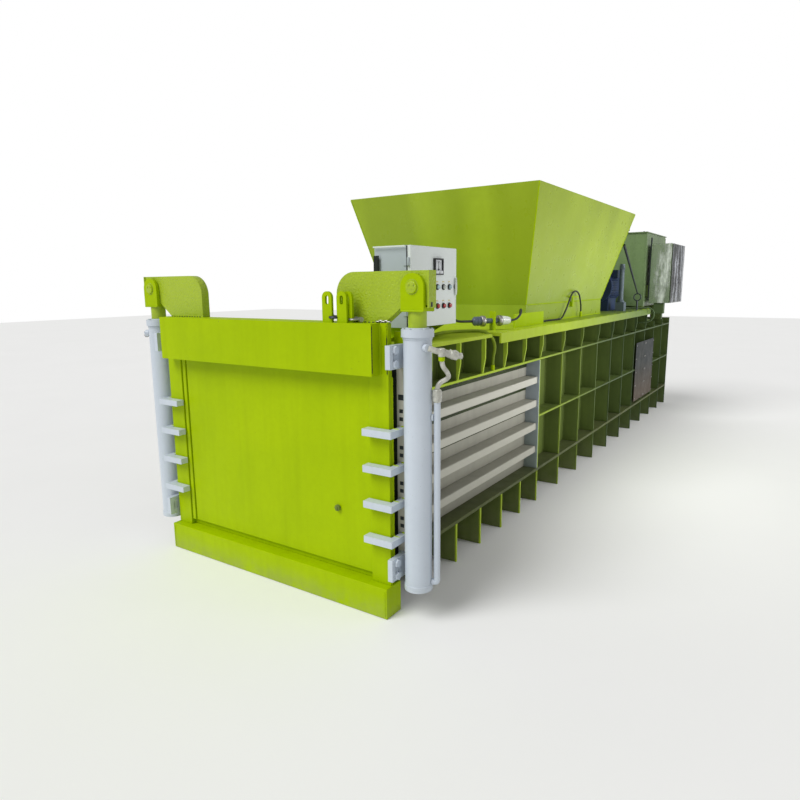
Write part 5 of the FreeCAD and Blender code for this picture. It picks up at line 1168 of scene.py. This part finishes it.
guard.append(turned((fanX - 0.0045, fanY, fanZ), outward, [(0, 0.040), (0.004, 0.040), (0.005, 0.036)], 32))
addPiece("fan_guard", guard, darkSteel)


def slackSheet(origin, across, up, columns, rows, swell, seed):
    # a slack sheet between two directions; its edges lie closer to the wall
    origin, across, up = Vector(origin), Vector(across), Vector(up)
    normal = across.cross(up).normalized()
    verts = []
    for j in range(rows + 1):
        for i in range(columns + 1):
            u, v = i / columns, j / rows
            spot = origin + across * u + up * v
            inside = min(1.0, 8 * min(u, 1 - u)) * min(1.0, 8 * min(v, 1 - v))
            lift = abs(wave.noise(spot * 6 + Vector((seed, 0, 0)))) + 0.5 * abs(wave.noise(spot * 17))
            verts.append(spot + normal * (swell * lift * (0.35 + 0.65 * inside)))
    faces = [(a, a + 1, a + columns + 2, a + columns + 1)
             for j in range(rows) for a in range(j * (columns + 1), j * (columns + 1) + columns)]
    return verts, faces


gap = coolerSettings["filmGap"]
boxWide = (coolerHigh.x - coolerLow.x - 0.002, 0, 0)
boxTall = (0, 0, coolerHigh.z - coolerLow.z)
frontFilm = slackSheet((coolerLow.x + 0.002, coolerLow.y - gap, coolerLow.z), boxWide, boxTall,
                       30, 60, 0.012, 1.0)
topFilm = slackSheet((coolerLow.x + 0.002, coolerLow.y, coolerHigh.z + gap), boxWide,
                     (0, coolerSettings["topFilm"], 0), 30, 30, 0.010, 5.0)
sideFilm = slackSheet((fanX + 0.008, coolerLow.y - 0.002, coolerLow.z), (0, coolerHigh.y - coolerLow.y, 0),
                      boxTall, 40, 44, 0.014, 9.0)
wrap = addPiece("cooler_film", [frontFilm, topFilm], clearFilm, crease=70)
sideWrap = addPiece("cooler_side_film", [sideFilm], darkFilm, crease=70)
stripY0, stripY1, stripZ0, stripZ1 = tankSettings["strip"]
louvre = [block((tankHigh.x + 0.014, stripY0, stripZ0), (coolerLow.x - 0.004, stripY1, stripZ1))]
for k in range(tankSettings["louvres"]):
    z = tankSettings["louvreFrom"] + tankSettings["louvreRun"] * k / (tankSettings["louvres"] - 1)
    louvre.append(block((tankHigh.x + 0.015, stripY0 - 0.006, z),
                        (coolerLow.x - 0.005, stripY0 + 0.001, z + 0.014)))
addPiece("tank_louvres", louvre, darkSteel)
print("tank and cooler dressed")


# rear covers: bolts round their edges, the same on both sides
coverSettings = {"rows": 5, "inset": 0.02, "ends": 0.03}
coverLow, coverHigh = corners("rear_covers")
inset, middle = coverSettings["inset"], (coverLow.y + coverHigh.y) / 2
coverShapes = []
for y in (coverLow.y + inset, middle - inset, middle + inset, coverHigh.y - inset):
    for k in range(coverSettings["rows"]):
        tall = coverHigh.z - coverLow.z - 2 * coverSettings["ends"]
        z = coverLow.z + coverSettings["ends"] + tall * k / (coverSettings["rows"] - 1)
        coverShapes.append(hexNut((coverHigh.x, y, z), outward, 0.0085, 0.006))
coverShapes += [([(-vert[0], vert[1], vert[2]) for vert in verts], faces) for verts, faces in coverShapes]
addPiece("cover_bolts", coverShapes, bareSteel)

# screws on the front deck tabs
tabScrews = {"x": (0.800, 0.834), "y": 0.0735, "z": 1.352}
addPiece("tab_screws", [hexNut((x * sign, tabScrews["y"], tabScrews["z"]), rearward, 0.009, 0.006)
                        for sign in (1, -1) for x in tabScrews["x"]], bareSteel)
print("covers and tabs fastened")


# studio: pale floor, even sky and one broad high lamp, and a long low one beside the machine
studioSettings = {"floor": (0.94, 0.94, 0.93), "floorSize": 60.0, "sky": 0.41, "sun": 2.05, "sunAngle": 36,
                  "sunFrom": (-0.25, -0.62, 0.75), "sideEnergy": 34, "sidePlace": (4.6, 4.4, 2.4),
                  "sideSize": (6.0, 1.2), "sideSpread": 62}


def addLamp(name, kind, place, target, energy, **settings):
    data = bpy.data.lights.new(name, kind)
    data.energy = energy
    for key, value in settings.items():
        setattr(data, key, value)
    lamp = bpy.data.objects.new(name, data)
    direction = Vector(target) - Vector(place)
    lamp.location = place
    lamp.rotation_euler = direction.to_track_quat("-Z", "Y").to_euler()
    bpy.context.scene.collection.objects.link(lamp)
    return lamp


def setStudio(settings):
    half = settings["floorSize"] / 2
    verts = [(-half, -half, -0.001), (half, -half, -0.001), (half, half, -0.001), (-half, half, -0.001)]
    mesh = bpy.data.meshes.new("studio_floor")
    mesh.from_pydata(verts, [], [(0, 1, 2, 3)])
    floor = bpy.data.objects.new("studio_floor", mesh)
    bpy.context.scene.collection.objects.link(floor)
    material, tree, shader, place = startMaterial("studioFloor")
    tone = spread(tree, noise(tree, place, 0.8, 3.0, 0.6), 0.3, 0.7)
    tree.links.new(blendColour(tree, tone, settings["floor"], scaled(settings["floor"], 0.985)),
                   shader.inputs["Base Color"])
    shader.inputs["Roughness"].default_value = 0.9
    shader.inputs["Specular IOR Level"].default_value = 0.1
    mesh.materials.append(material)
    world = bpy.data.worlds.new("studio")
    bpy.context.scene.world = world
    world.use_nodes = True
    tree = world.node_tree
    background = tree.nodes["Background"]
    background.inputs["Color"].default_value = (1, 1, 1, 1)
    seen = addNode(tree, "ShaderNodeLightPath").outputs["Is Camera Ray"]
    tree.links.new(spread(tree, seen, 0.0, 1.0, settings["sky"], 1.0), background.inputs["Strength"])
    start = Vector(settings["sunFrom"]) * 10
    addLamp("key", "SUN", start, (0, 0, 0), settings["sun"], angle=math.radians(settings["sunAngle"]))
    place = Vector(settings["sidePlace"])
    addLamp("side", "AREA", place, place + Vector((-1, 0, -0.35)), settings["sideEnergy"], shape="RECTANGLE",
            size=settings["sideSize"][0], size_y=settings["sideSize"][1],
            spread=math.radians(settings["sideSpread"]))
    bpy.context.scene.view_settings.view_transform = "Standard"


setStudio(studioSettings)
print("studio set")
